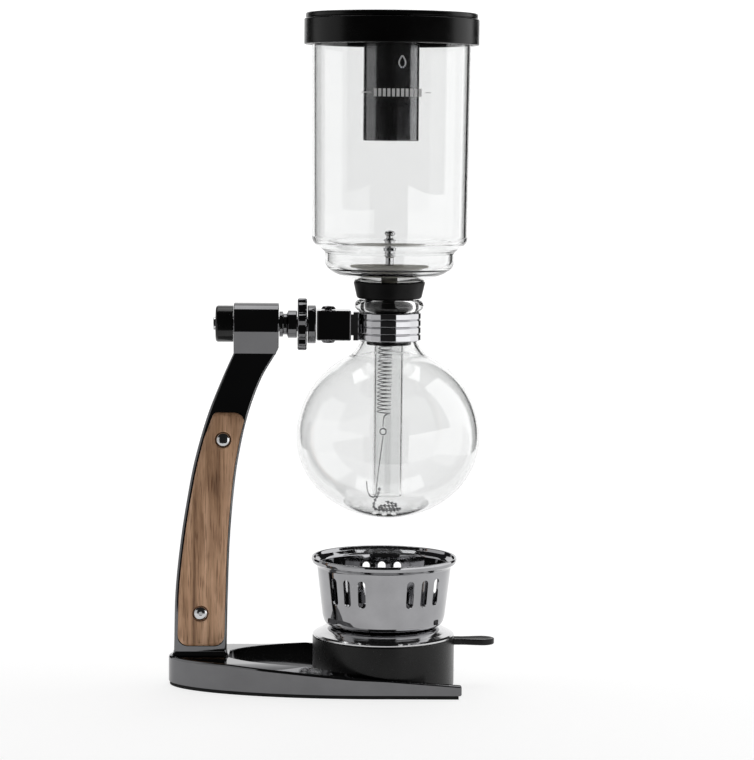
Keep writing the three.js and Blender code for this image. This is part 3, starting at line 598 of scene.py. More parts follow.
bolt_wells = [upright(BOLT_HEAD_R + GAP, 0, BOLT_WELL_TOP, x) for x in BOLT_X]
bolt_wells += [upright(BOLT_R + GAP, -1, 20, x) for x in BOLT_X]
shown("horseshoe_base", "base", cut(make_base(), *bolt_wells), 28)
sole_holes = [upright(BOLT_HEAD_R + GAP, -1, 3, x) for x in BOLT_X]
shown("base_sole", "sole_pad", cut(make_sole(), *sole_holes))

for number, bolt_x in enumerate(BOLT_X, 1):
    low, high = bottom_top(f"stem_bolt_{number}")
    neck = low + BOLT_HEAD_HEIGHT
    bolt_profile = eased([
        (0, low), (BOLT_HEAD_R, low, 0.5), (BOLT_HEAD_R, neck, 0.3),
        (BOLT_R, neck), (BOLT_R, high, 0.6), (0, high),
    ])
    bolt = turned(bolt_profile, FEW_SIDES, at=(bolt_x, 0, 0))
    socket = upright(SOCKET_R, low - 1, low + SOCKET_DEPTH, bolt_x, 6)
    shown(f"foot_bolt_{number}", f"stem_bolt_{number}", cut(bolt, socket))


# ---------------------------------------------------------------- stem
STEM_STATIONS = [  # height, left edge, right edge
    (16.7, -117.0, -85.6),
    (19, -115.9, -86.9),
    (24, -115.7, -87.0),
    (52, -115.1, -86.5),
    (80, -112.3, -85.6),
    (105, -108.5, -83.7),
    (125, -104.6, -81.2),
    (148, -98.1, -76.3),
    (168, -90.3, -69.2),
    (182.1, -84.1, -61.2),
]
STEM_HALF = 6.5
STEM_EDGE = 1.3
BARREL_X0, BARREL_X1 = -84.1, -59.7
BARREL_R = 11.5
SKIRT_Z = 194.6
POCKET = 1.8  # depth of the pocket that each grip sits in
SHAFT_R, SHAFT_BORE = 4.0, 4.3
SCREW_HOLE_R = 2.3
STEM_LINE = through(STEM_STATIONS, 8)


def stem_edges(z):
    """X of the stem's left and right edges at a height."""
    for low, high in zip(STEM_LINE, STEM_LINE[1:]):
        if z <= high[0]:
            break
    t = (z - low[0]) / (high[0] - low[0])
    return lerp(low[1], high[1], t), lerp(low[2], high[2], t)


def rounded_rectangle(x0, x1, half_y, edge, z):
    corners = [(x0, -half_y, edge), (x1, -half_y, edge), (x1, half_y, edge), (x0, half_y, edge)]
    return [(x, y, z) for x, y in eased(corners, True, 5)]


def make_stem():
    rings = []
    for z, x0, x1 in STEM_LINE:
        flare = 1.2 * (1 - smoothstep(z, 16.7, 18.6))
        rings.append(rounded_rectangle(x0, x1, STEM_HALF + flare, STEM_EDGE, z))
    blade = lofted(rings)
    top = STEM_LINE[-1]
    slope = (BARREL_R - 0.45 - STEM_HALF) / (SKIRT_Z - top[0])
    key_rings = []
    for drop in (-0.4, 0.0, 0.6, 1.4, 2.4, 3.4, SKIRT_Z - top[0], ARM_Z - top[0]):
        t = smoothstep(drop, -0.4, 3.6)
        half = STEM_HALF + slope * min(max(drop, 0), SKIRT_Z - top[0])
        x0, x1 = lerp(top[1], BARREL_X0, t), lerp(top[2], BARREL_X1, t)
        key_rings.append(rounded_rectangle(x0, x1, half, 0.7, top[0] + drop))
    x0, x1 = BARREL_X0, BARREL_X1
    barrel = on_arm(eased([(0, x0), (BARREL_R, x0, 0.5), (BARREL_R, x1, 0.5), (0, x1)]), SIDES)
    pocket_y = STEM_HALF - POCKET
    tools = [plate(grip_outline(0.35), s * (STEM_HALF + 2), s * pocket_y) for s in (-1, 1)]
    for x, z in SCREWS.values():
        tools.append(bar(SCREW_HOLE_R, -20, 20, 32, "front", (x, 0, z)))
    tools += [upright(BOLT_R + GAP, 10, 26.5, x, 32) for x in BOLT_X]
    tools.append(arm_bar(SHAFT_BORE, BARREL_X0 - 15, BARREL_X1 + 10))
    return cut(join(blade, lofted(key_rings), barrel), *tools)


# ---------------------------------------------------------------- grips and their screws
GRIP_BOTTOM, GRIP_TOP = bottom_top("grip_front")
GRIP_LEFT_MARGIN, GRIP_RIGHT_MARGIN = 2.0, 1.3
GRIP_CORNER = 6.0
GRIP_FACE = STEM_HALF + 1.3
RECESS_R, RECESS_MOUTH_R, RECESS_DEPTH = 4.4, 5.0, 2.4  # the hollow round each screw head
SCREWS = {
    where: (node_middle("grip_screw_" + where).x - GLASS_X, node_middle("grip_screw_" + where).z)
    for where in ("upper", "lower")
}


def grip_outline(grow):
    """Outline of a grip on the stem's side, grown all round by grow."""
    z0, z1 = GRIP_BOTTOM - grow, GRIP_TOP + grow
    c = GRIP_CORNER

    def left(z):
        return stem_edges(z)[0] + GRIP_LEFT_MARGIN - grow

    def right(z):
        return stem_edges(z)[1] - GRIP_RIGHT_MARGIN + grow

    heights = [lerp(34, 136, i / 14) for i in range(15)]
    return [
        *arc(left(z0) + c, z0 + c, c, c, 180, 270, 9),
        *arc(right(z0) - c, z0 + c, c, c, 270, 360, 9),
        *[(right(z), z) for z in heights],
        *arc(right(z1) - c - 1, z1 - c, c, c, 15, 90, 8),
        *arc(left(z1) + 3, z1 - 3, 3, 3, 90, 165, 6),
        *[(left(z), z) for z in heights[::-1]],
    ]


def make_grip(side):
    inner = STEM_HALF - POCKET + GAP
    reach, drop = 2.6, 1.3  # how far in and how far down the crowned edge goes
    rings = [[(x, side * inner, z) for x, z in grip_outline(0)]]
    for k in range(9):
        a = math.pi / 2 * k / 8
        y = GRIP_FACE - drop * (1 - math.sin(a))
        rings.append([(x, side * y, z) for x, z in grip_outline(-reach * (1 - math.cos(a)))])
    board = lofted(rings)
    axis = "front" if side < 0 else "back"
    floor, mouth = GRIP_FACE - RECESS_DEPTH, GRIP_FACE + 0.2
    recess = [
        (0, floor), (RECESS_R, floor), (RECESS_R, GRIP_FACE - 0.4), (RECESS_MOUTH_R, mouth),
        (RECESS_MOUTH_R, 20), (0, 20),
    ]
    tools = []
    for x, z in SCREWS.values():
        tools.append(bar(SCREW_HOLE_R, 0, 20, 32, axis, (x, 0, z)))
        tools.append(turned(recess, FEW_SIDES, axis=axis, at=(x, 0, z)))
    return cut(board, *tools)


shown("curved_stem", "stem", make_stem(), 26)
shown("walnut_grip_front", "grip_front", make_grip(-1))
shown("walnut_grip_back", "grip_back", make_grip(1))

HEAD_R, SHANK_R = 3.8, 2.0
HEAD_DOME = [(0, 0.3), (1.6, 0.22), (2.7, -0.05), (3.3, -0.3), (3.7, -0.7), (HEAD_R, -1.2), (HEAD_R, -1.9)]
HEAD_SEAT = GRIP_FACE - 2.1
SHANK_END = 1 - GRIP_FACE
for where, (screw_x, screw_z) in SCREWS.items():
    dome = [(r, GRIP_FACE + z) for r, z in HEAD_DOME]
    spot = (screw_x, 0, screw_z)
    shank = [(HEAD_R, HEAD_SEAT), (SHANK_R, HEAD_SEAT), (SHANK_R, SHANK_END), (0, SHANK_END)]
    screw = turned([*dome, *shank], FEW_SIDES, axis="front", at=spot)
    hexagon = bar(1.2, GRIP_FACE - 0.6, GRIP_FACE + 1, 6, "front", spot)
    shown("grip_bolt_" + where, "grip_screw_" + where, cut(screw, hexagon))
    nut = turned([*dome, (HEAD_R, HEAD_SEAT), (0, HEAD_SEAT)], FEW_SIDES, axis="back", at=spot)
    well = bar(SCREW_HOLE_R, 0, GRIP_FACE - 0.7, 32, "back", spot)
    shown("grip_sleeve_nut_" + where, "grip_nut_" + where, cut(nut, well))


# ---------------------------------------------------------------- clamp arm
CAP_R, CAP_SCREW_R, COLLAR_R = 9.9, 3.6, 10.4
low, high = left_right("end_cap")
cap = on_arm(eased([(0, low), (CAP_R, low, 1.5), (CAP_R, high, 0.3), (0, high)]))
shown("arm_end_cap", "end_cap", cut(cap, arm_bar(SHAFT_BORE, low - 1, high + 1)))

low, high = left_right("cap_screw")
disc = on_arm(eased([(0, low), (CAP_SCREW_R, low, 0.4), (CAP_SCREW_R, high), (0, high)]), FEW_SIDES)
shown("arm_cap_screw", "cap_screw", cut(disc, arm_bar(1.7, low - 1, low + 0.9, 6)))

low, high = left_right("spindle")
NECK_X, SHOULDER_X, SPINDLE_END_X = -59.4, -55.0, -49.9
FLANGE_R, NECK_R, SHOULDER_R = 6.9, 5.7, 7.5
spindle_profile = eased([
    (0, low), (SHAFT_R, low, 0.4), (SHAFT_R, NECK_X), (FLANGE_R, NECK_X, 0.25),
    (FLANGE_R, NECK_X + 1.9, 0.25), (NECK_R, NECK_X + 2.2, 0.2),
    (NECK_R, SHOULDER_X - 0.5, 0.2), (6.4, SHOULDER_X - 0.2, 0.2),
    (SHOULDER_R, SHOULDER_X + 0.3, 0.3), (SHOULDER_R, SPINDLE_END_X, 0.6), (SHAFT_R, SPINDLE_END_X),
    (SHAFT_R, high, 0.3), (0, high),
])
shown("clamp_spindle", "spindle", on_arm(spindle_profile))

KNOB_X0, KNOB_X1 = left_right("star_knob")
KNOB_R, LOBES, LOBE_DEPTH = 14.1, 10, 1.9


def make_knob():
    count = LOBES * 20
    edge = 1.0

    def ring(x, inset):
        points = []
        for i in range(count):
            a = TAU * i / count
            r = KNOB_R - inset - LOBE_DEPTH * (0.5 - 0.5 * math.cos(LOBES * a)) ** 1.5
            points.append((x, r * math.sin(a), ARM_Z + r * math.cos(a)))
        return points

    quarter = [math.pi / 2 * k / 5 for k in range(6)]
    rings = [ring(KNOB_X0 + edge * (1 - math.sin(a)), edge * (1 - math.cos(a))) for a in quarter[::-1]]
    rings += [ring(KNOB_X1 - edge * (1 - math.sin(a)), edge * (1 - math.cos(a))) for a in quarter]
    return cut(lofted(rings), arm_bar(SHAFT_BORE, KNOB_X0 - 10, KNOB_X1 + 5))


shown("clamp_star_knob", "star_knob", make_knob(), 40)

low, high = left_right("collar")
collar_outline = [(SHAFT_BORE, low), (COLLAR_R, low, 0.7), (COLLAR_R, high, 0.7), (SHAFT_BORE, high)]
collar_ring = eased(collar_outline, True)
shown("clamp_collar", "collar", on_arm(collar_ring, closed=True))

HOUSE_X0, HOUSE_X1 = left_right("clamp_housing")
HOUSE_Z0, HOUSE_Z1 = bottom_top("clamp_housing")
HOUSE_Y = node_box("clamp_housing")[1].y
HOUSE_WALL, HOUSE_END_WALL = 1.9, 1.4
PIN_X = node_middle("jaw_pin").x - GLASS_X
PIN_R = 1.9
house_inside = block(
    HOUSE_X0 + HOUSE_END_WALL, -HOUSE_Y + HOUSE_WALL, HOUSE_Z0 + HOUSE_WALL,
    HOUSE_X1 + 1, HOUSE_Y - HOUSE_WALL, HOUSE_Z1 - HOUSE_WALL,
)
housing = cut(
    block(HOUSE_X0, -HOUSE_Y, HOUSE_Z0, HOUSE_X1, HOUSE_Y, HOUSE_Z1, 0.8),
    house_inside,
    upright(PIN_R + GAP, HOUSE_Z0 - 1, HOUSE_Z1 + 1, PIN_X),
)
shown("clamp_house", "clamp_housing", housing)

HEAD_DISH = [
    (0, 1.05), (1.2, 1.15), (2.0, 1.7), (2.5, 1.9), (3.1, 1.75), (3.75, 0.95), (3.9, 0.4), (3.75, GAP),
]
pin_top = [(r, HOUSE_Z1 + z) for r, z in HEAD_DISH]
pin_foot = [(r, HOUSE_Z0 - z) for r, z in HEAD_DISH]
pin_profile = [*pin_foot, (PIN_R, HOUSE_Z0 - GAP), (PIN_R, HOUSE_Z1 + GAP), *pin_top[::-1]]
shown("jaw_hinge_pin", "jaw_pin", turned(pin_profile, FEW_SIDES, at=(PIN_X, 0, 0)), 45)

BAND_R, BAND_BORE = 17.5, 16.4
BAND_Z0, BAND_Z1 = bottom_top("jaw_front")
RIBS, RIB_PITCH, GROOVE = 4, 3.9, 0.55
LINER_WALL = 0.45
JAW_ROOT_X, KNUCKLE_R = -19.4, 4.6
JAW_SPLIT, LINER_SPLIT = 0.5, 0.8  # half of the gap between the two halves
CLEAR_Y, CLEAR_Z0, CLEAR_Z1 = 60, 180, 210  # past the clamp on every side


def half_space(side, split):
    """A block that holds one side of the clamp, from the split between its halves outwards."""
    near, far = side * split, side * CLEAR_Y
    return block(-CLEAR_Y, min(near, far), CLEAR_Z0, CLEAR_Y, max(near, far), CLEAR_Z1)


def make_jaw(side, knuckle_z0, knuckle_z1):
    middle = (BAND_Z0 + BAND_Z1) / 2
    outline = [(BAND_BORE, BAND_Z0)]
    for i in range(RIBS):
        z = middle + (i - (RIBS - 1) / 2) * RIB_PITCH
        z0, z1 = max(BAND_Z0, z - RIB_PITCH / 2), min(BAND_Z1, z + RIB_PITCH / 2)
        outline += [(BAND_R - GROOVE, z0 + 0.08, 0.05), (BAND_R, z0 + 0.5, 0.35), (BAND_R, z1 - 0.5, 0.35)]
        outline.append((BAND_R - GROOVE, z1 - 0.08, 0.05))
    outline.append((BAND_BORE, BAND_Z1))
    ring = turned(eased(outline, True), SIDES, True)
    half = overlap(ring, half_space(side, JAW_SPLIT))
    y0, y1 = sorted((side * JAW_SPLIT, side * KNUCKLE_R))
    weld_x = -BAND_BORE - 0.2
    tail = block(PIN_X + 1, y0, knuckle_z0, weld_x, y1, knuckle_z1)
    root = block(JAW_ROOT_X, y0, BAND_Z0, weld_x, y1, BAND_Z1)
    knuckle = upright(KNUCKLE_R, knuckle_z0, knuckle_z1, PIN_X)
    return cut(join(half, tail, root, knuckle), upright(PIN_R + GAP, CLEAR_Z0, CLEAR_Z1, PIN_X))


def make_liner(side):
    outer = BAND_BORE - GAP
    inner = outer - LINER_WALL
    z0, z1 = BAND_Z0 + 0.6, BAND_Z1 - 0.6
    ring = turned(eased([(inner, z0, 0.1), (outer, z0), (outer, z1), (inner, z1, 0.1)], True), 96, True)
    return overlap(ring, half_space(side, LINER_SPLIT))


knuckle_space = HOUSE_WALL + GAP
front_jaw = make_jaw(-1, ARM_Z + GAP / 2, HOUSE_Z1 - knuckle_space)
back_jaw = make_jaw(1, HOUSE_Z0 + knuckle_space, ARM_Z - GAP / 2)
shown("ribbed_jaw_front", "jaw_front", front_jaw, material=BRIGHT_NICKEL)
shown("ribbed_jaw_back", "jaw_back", back_jaw, material=BRIGHT_NICKEL)
shown("liner_front", "jaw_liner_front", make_liner(-1))
shown("liner_back", "jaw_liner_back", make_liner(1))


# ---------------------------------------------------------------- globe
def make_globe():
    r, centre, flat, wall = 49.9, 136.0, 43.5, 1.8  # flat is the half-height of its flatter lower half
    neck, bore, neck_z = 15.3, 13.3, 188.4
    lip_r, lip_z, top = 18.7, 205.2, 211.6
    lip_half = (top - lip_z) / 2
    leave, meet = 66, 67  # degrees up the sphere where the neck begins, outside and inside
    shoulder_start = (r * math.cos(math.radians(leave)), centre + r * math.sin(math.radians(leave)))
    throat_end = ((r - wall) * math.cos(math.radians(meet)), centre + (r - wall) * math.sin(math.radians(meet)))
    shoulder = through([shoulder_start, (16.6, neck_z - 2.2), (neck, neck_z + 0.8)], 7)
    throat = through([(bore, neck_z + 0.6), (14.9, neck_z - 3.2), throat_end], 7)
    profile = [
        *arc(0, centre, r, flat, -90, 0, 36)[:-1],
        *arc(0, centre, r, r, 0, leave, 28)[:-1],
        *[tuple(p) for p in shoulder],
        *eased([(neck, neck_z + 0.8), (neck, lip_z - 0.2, 0.8), (lip_r - lip_half, lip_z)])[1:-1],
        *arc(lip_r - lip_half, (top + lip_z) / 2, lip_half, lip_half, -90, 84, 14),
        *eased([(bore + 1.6, top), (bore, top - 0.2, 1.2), (bore, neck_z + 0.6)])[1:-1],
        *[tuple(p) for p in throat][:-1],
        *arc(0, centre, r - wall, r - wall, meet, 0, 28)[:-1],
        *arc(0, centre, r - wall, flat - wall, 0, -90, 36),
    ]
    return turned(profile)


shown("blown_globe", "globe", make_globe(), 60)


# ---------------------------------------------------------------- stopper and upper bowl
TUBE_R, TUBE_BORE = 8.0, 6.9
TUBE_TOP, TUBE_END = 216.4, 104.3
STOPPER_END, STOPPER_TOP, STOPPER_FLANGE_Z = 186.7, 221.2, 212.1
STOPPER_BORE, PLUG_R, STOPPER_FLANGE_R = 8.3, 13.0, 19.3
stopper_profile = eased([
    (STOPPER_BORE, STOPPER_END), (12.0, STOPPER_END, 0.8), (PLUG_R, 208.0), (PLUG_R, STOPPER_FLANGE_Z),
    (17.4, STOPPER_FLANGE_Z, 1.5), (STOPPER_FLANGE_R, 220.4, 0.6), (STOPPER_FLANGE_R, STOPPER_TOP, 0.4),
    (18.2, STOPPER_TOP, 0.5), (11.1, TUBE_TOP + 0.2), (STOPPER_BORE, TUBE_TOP - 4),
], True)
shown("rubber_stopper", "stopper", turned(stopper_profile, closed=True), 40)

WALL_Z0, WALL_Z1, BOWL_TOP = 250.0, 359.5, 360.0  # the long wall, and the rim above it
WALL_R0, WALL_R1, BOWL_WALL = 42.2, 43.1, 2.0
WELL_R = 35.0


def make_bowl():
    inner_r, well = WALL_R0 - BOWL_WALL, WELL_R - BOWL_WALL
    outside = [
        (TUBE_R, TUBE_END, 0.5), (TUBE_R, TUBE_TOP - 3.4, 6), (10.9, TUBE_TOP + 0.6, 4), (19.1, 221.8, 12),
        (30.6, 226.0, 16), (WELL_R, 229.6, 6.5), (WELL_R, 237.0, 1.2), (37.7, 239.4, 1.5),
        (WALL_R0, 242.6, 5), (WALL_R0, WALL_Z0, 8), (WALL_R1, WALL_Z1, 0.8), (42.4, BOWL_TOP, 0.4),
    ]
    inside = [
        (41.3, BOWL_TOP, 0.4), (41.1, 359.0, 0.8), (inner_r, WALL_Z0, 8), (inner_r, 244.2, 3.5),
        (36.4, 241.2, 1.6), (well, 238.4, 1.6), (well, 230.6, 5), (29.7, 228.2, 14), (18.5, 224.0, 12),
        (9.5, TUBE_TOP + 2.8, 4), (TUBE_BORE, TUBE_TOP - 1.5, 5), (TUBE_BORE, TUBE_END, 0.5),
    ]
    return turned(eased(outside + inside, True), closed=True)


shown("upper_glass", "upper_bowl", make_bowl(), 60)

MARK_R = 43.0  # radius of the glass under the print
INK_INSIDE, INK_OUTSIDE = 0.02, 0.08  # the enamel's two faces, from the glass
FIRST_BAR, BAR_PITCH, BAR_COUNT = (-10.7, -9.1), 2.4, 11
BAR_Z0, BAR_Z1 = 320.5, 324.7
DASH_Z0, DASH_Z1 = 322.4, 322.9


def printed_bar(u0, u1, z0, z1):
    """A thin bar of enamel that follows the front of the glass."""
    count = max(1, math.ceil((u1 - u0) / 0.8))
    rings = []
    for i in range(count + 1):
        a = lerp(u0, u1, i / count) / MARK_R
        r0, r1 = [lerp(WALL_R0, WALL_R1, (z - WALL_Z0) / (WALL_Z1 - WALL_Z0)) for z in (z0, z1)]
        near, far = INK_INSIDE, INK_OUTSIDE
        corners = [(r0 + near, z0), (r0 + far, z0), (r1 + far, z1), (r1 + near, z1)]
        rings.append([(r * math.sin(a), -r * math.cos(a), z) for r, z in corners])
    return lofted(rings)


def printed_drop(u, z, half, height):
    """A drop-shaped outline built from short bars."""
    bars = []
    steps, line = 8, 0.35
    for side in (-1, 1):
        for k in range(steps):
            t0, t1 = k / steps, (k + 1) / steps
            t = (t0 + t1) / 2
            edge = u + side * half * math.sin(math.pi * t) ** 0.8 * (1.15 - 0.6 * t)
            bars.append(printed_bar(edge - line, edge + line, z + height * t0, z + height * t1))
    return bars


marks = printed_drop(4.2, 335.4, 2.0, 6.5)
for k in range(BAR_COUNT):
    shift = BAR_PITCH * k
    marks.append(printed_bar(FIRST_BAR[0] + shift, FIRST_BAR[1] + shift, BAR_Z0, BAR_Z1))
for dash_start, dash_end in ((-17.6, -12.2), (17.2, 20.4)):
    marks.append(printed_bar(dash_start, dash_end, DASH_Z0, DASH_Z1))
shown("printed_mark", "upper_bowl", gathered(*marks), material=ENAMEL, stands_for=False)


# ---------------------------------------------------------------- filter, spring, hook and chain
DISC_R, HUB_R = 21.5, 4.4
DISC_Z0, DISC_Z1 = 225.9, 228.1
HUB_Z = bottom_top("filter_disc")[0]
disc_profile = eased([
    (0, HUB_Z), (HUB_R, HUB_Z, 0.8), (HUB_R, DISC_Z0), (DISC_R, DISC_Z0, 0.6), (DISC_R, DISC_Z1, 0.5),
    (0, DISC_Z1),
])
shown("filter_plate", "filter_disc", turned(disc_profile))

KNOB_Z0, KNOB_Z1 = bottom_top("filter_knob")
BALL_Z, BALL_R = 247.3, 2.85
knob_profile = eased([
    (0, KNOB_Z0), (2.2, KNOB_Z0, 0.2), (2.2, 234.3, 0.4), (2.7, 234.8, 0.3), (2.7, 238.8, 0.3),
    (3.5, 239.4, 0.4), (3.4, 241.0, 0.8), (2.7, 244.0, 0.5), (1.8, 244.9, 0.3), (1.9, 246.0),
])
knob_profile += arc(0, BALL_Z, BALL_R, KNOB_Z1 - BALL_Z, -48, 90, 12)
shown("filter_post", "filter_knob", turned(knob_profile, FEW_SIDES), 50)

COIL_R, COIL_WIRE, COIL_PITCH = 3.6, 0.33, 2.1
COIL_TOP, COIL_END = 202.0, 149.6
TOP_LEAN, END_LEAN = -1.6, -2.4
RING_R, RING_WIRE, RING_X, RING_Z = 1.7, 0.35, -2.6, 139.4
RING_CLEAR = RING_R + 2 * RING_WIRE + GAP  # from the ring's middle to the wires that meet it
HANGER_WIRE, HOOK_WIRE = 0.5, 0.35


def make_spring():
    turns = (COIL_TOP - COIL_END) / COIL_PITCH
    count = round(turns * 22)
    points = []
    for i in range(count + 1):
        t = i / count
        a = TAU * turns * t
        lean = lerp(TOP_LEAN, END_LEAN, t)
        points.append((lean + COIL_R * math.cos(a), COIL_R * math.sin(a), lerp(COIL_TOP, COIL_END, t)))
    tail = [points[-1], (END_LEAN + 1, 0.6, COIL_END - 1.2), (END_LEAN, 0, COIL_END - 3),
            (RING_X, 0, RING_Z + RING_CLEAR)]
    return wire(points[:-1] + [tuple(p) for p in through(tail, 8)], COIL_WIRE, 8)


shown("pull_spring", "filter_spring", make_spring(), 60)
hanger_line = through([(0, 0, HUB_Z - GAP), (0, 0, 214), (-0.6, 0, 208), (TOP_LEAN, 0, COIL_TOP + 1)], 10)
shown("spring_rod", "spring_hanger", wire(hanger_line, HANGER_WIRE), 60)

ring_section = arc(RING_R, 0, RING_WIRE, RING_WIRE, 0, 330, 11)
shown("pull_loop", "pull_ring", turned(ring_section, 40, True, "front", (RING_X, 0, RING_Z)), 60)

hook_line = through([
    (RING_X, 0, RING_Z - RING_CLEAR), (-3.4, 0, 130), (-5.6, 0, 112), (-6.0, 0, 106), (-6.7, 0, 103.6),
    (-8.1, 0, 103.1), (-9.9, 0, 104.4), (-11.0, 0, 107.6), (-11.3, 0, 111.6),
], 10)
shown("tube_hook", "pull_hook", wire(hook_line, HOOK_WIRE), 60)

BEAD_R, BEAD_PITCH, LINK_WIRE = 0.92, 2.15, 0.28


def make_chain():
    line = through([
        (-4.5, 1.2, 108.4), (-4.4, 1.5, 106.8), (-5.0, 1.5, 104.8), (-6.1, 1.5, 102.2), (-7.1, 1.3, 99.8),
        (-7.4, 0.1, 97.7), (-6.2, -1.7, 96.4), (-3.0, -2.8, 96.1), (0.8, -3.2, 96.0), (4.6, -2.7, 96.1),
        (7.0, -0.4, 96.4), (5.2, 1.9, 96.2), (1.6, 2.6, 96.1), (-2.2, 2.4, 96.1), (-4.4, 0.6, 97.2),
        (-2.4, -0.7, 98.3), (1.2, -1.2, 98.4), (4.4, -0.7, 98.3), (5.2, 1.0, 98.8), (2.4, 1.5, 99.6),
        (-0.8, 0.8, 100.4),
    ], 12)
    slopes = [math.pi * (k / 10 - 0.5) for k in range(11)]
    ball = [(BEAD_R * math.cos(a), BEAD_R * math.sin(a)) for a in slopes]
    beads = []
    walked = 0.0
    for here, ahead in zip(line, line[1:]):
        walked += (ahead - here).length
        if walked >= BEAD_PITCH * (len(beads) + 0.5):
            beads.append(turned(ball, 16, at=tuple(ahead)))
    return gathered(wire(line, LINK_WIRE, 8), *beads)


shown("ball_chain", "bead_chain", make_chain(), 60)


# ---------------------------------------------------------------- lid
LID_R = node_box("lid_cap")[1].y
LID_Z0, LID_Z1 = bottom_top("lid_cap")
PLATE_Z = 360.4  # underside of the lid's disc
TIER_Z = 362.5  # groove between the rim and the raised top
RIM_BORE, TOP_R, GROOVE_R = 43.5, LID_R - 0.8, LID_R - 1.3
LID_TUBE_R, LID_TUBE_BORE = 15.1, 12.8
lid_profile = eased([
    (0, PLATE_Z), (LID_TUBE_R + GAP, PLATE_Z), (RIM_BORE, PLATE_Z, 0.8), (RIM_BORE, LID_Z0 + 0.6),
    (RIM_BORE + 0.6, LID_Z0), (LID_R, LID_Z0, 0.7), (LID_R, TIER_Z - 0.1, 0.7),
    (GROOVE_R, TIER_Z + 0.1, 0.15), (GROOVE_R, TIER_Z + 0.45, 0.15), (TOP_R, TIER_Z + 0.6, 0.3),
    (TOP_R, LID_Z1, 0.9), (LID_R - 4, LID_Z1), (0, LID_Z1 - 0.2),
])
shown("round_lid", "lid_cap", turned(lid_profile))
low, high = bottom_top("lid_tube")
tube_profile = eased([
    (LID_TUBE_BORE, low, 0.4), (LID_TUBE_R, low, 0.6), (LID_TUBE_R, high), (LID_TUBE_BORE, high),
], True)
shown("lid_stand_tube", "lid_tube", turned(tube_profile, 96, True), material=TUBE_BLACK)


# ---------------------------------------------------------------- burner
BURNER_AT = (BURNER_X, 0, 0)
SLEEVE_R, SLEEVE_WALL, SLEEVE_FLOOR = 38.8, 2.0, 1.6
SLEEVE_TOP = 27.3
TAB_TIP = left_right("sleeve")[1] - BURNER_X
TAB_Z0, TAB_Z1 = 22.6, 25.9
TAB_HALF, NECK_HALF, TAB_NECK_X = 6.2, 4.6, 45.0
FONT_R, DOME_BORE, BRIM_R, WICK_R = 36.2, 9.4, 38.6, 3.9


def burner_turned(profile, sides=SIDES, closed=False):
    return turned(profile, sides, closed, at=BURNER_AT)


def tab_ring(z, inset):
    """The paddle tab's outline at a height, drawn in by inset."""
    root = SLEEVE_R - SLEEVE_WALL + 0.6
    half, length = TAB_HALF - inset, TAB_HALF + 1 - inset
    centre = TAB_TIP - TAB_HALF - 1
    neck = NECK_HALF - inset
    flare = [(TAB_NECK_X - 3, neck), (TAB_NECK_X - 1, neck), (centre - 1.2, half - 0.1)]
    outline = [(root, -neck)]
    outline += [tuple(p) for p in through([(x, -y) for x, y in flare], 5)][:-1]
    outline += arc(centre, 0, length, half, -90, 90, 26)
    outline += [tuple(p) for p in through(flare[::-1], 5)][1:]
    outline.append((root, neck))
    return [(x + BURNER_X, y, z) for x, y in outline]


def make_sleeve():
    cup = burner_turned(eased([
        (0, 0), (SLEEVE_R, 0, 1.5), (SLEEVE_R, SLEEVE_TOP, 0.5), (SLEEVE_R - SLEEVE_WALL, SLEEVE_TOP, 0.4),
        (SLEEVE_R - SLEEVE_WALL, SLEEVE_FLOOR, 1), (0, SLEEVE_FLOOR),
    ]))
    under, over = 0.8, 0.5  # radii of the tab's lower and upper edges
    quarter = [math.pi / 2 * k / 4 for k in range(5)]
    rings = [tab_ring(TAB_Z0 + under * (1 - math.sin(a)), under * (1 - math.cos(a))) for a in quarter[::-1]]
    rings += [tab_ring(TAB_Z1 - over * (1 - math.sin(a)), over * (1 - math.cos(a))) for a in quarter]
    dished = ((0.25, 1.3), (0.7, 2.2), (0.95, 3.4))  # how far down and in the hollow of the tab goes
    rings += [tab_ring(TAB_Z1 - down, inset) for down, inset in dished]
    return join(cup, lofted(rings))


shown("burner_sleeve", "sleeve", make_sleeve())

low, high = bottom_top("font")
font_profile = eased([(0, low), (FONT_R, low, 3), (FONT_R, high, 2), (0, high)])
shown("fuel_font", "font", burner_turned(font_profile, 96))

low, high = bottom_top("collar_dome")
brim_z, skirt_r = SLEEVE_TOP + GAP, 36.4
dome_profile = eased([
    (DOME_BORE, low), (skirt_r, low, 0.3), (skirt_r, brim_z), (BRIM_R, brim_z, 0.2), (BRIM_R, 28.4, 0.3),
    (37.4, 29.2, 1.2), (35.0, 30.4, 6), (32.2, 32.0, 5), (29.5, high, 3), (DOME_BORE, high, 0.3),
], True)
shown("font_collar", "collar_dome", burner_turned(dome_profile, closed=True))

SHIELD_Z0, SHIELD_Z1 = bottom_top("wind_shield")
SLOT_GROUPS, SLOTS_EACH = 5, 3
SLOT_PITCH, FIRST_SLOT = 14.4, -35.8  # degrees round the shield, from the front
SLOT_WIDTH, SLOT_HEIGHT, SLOT_Z = 4.3, 15, 54.8


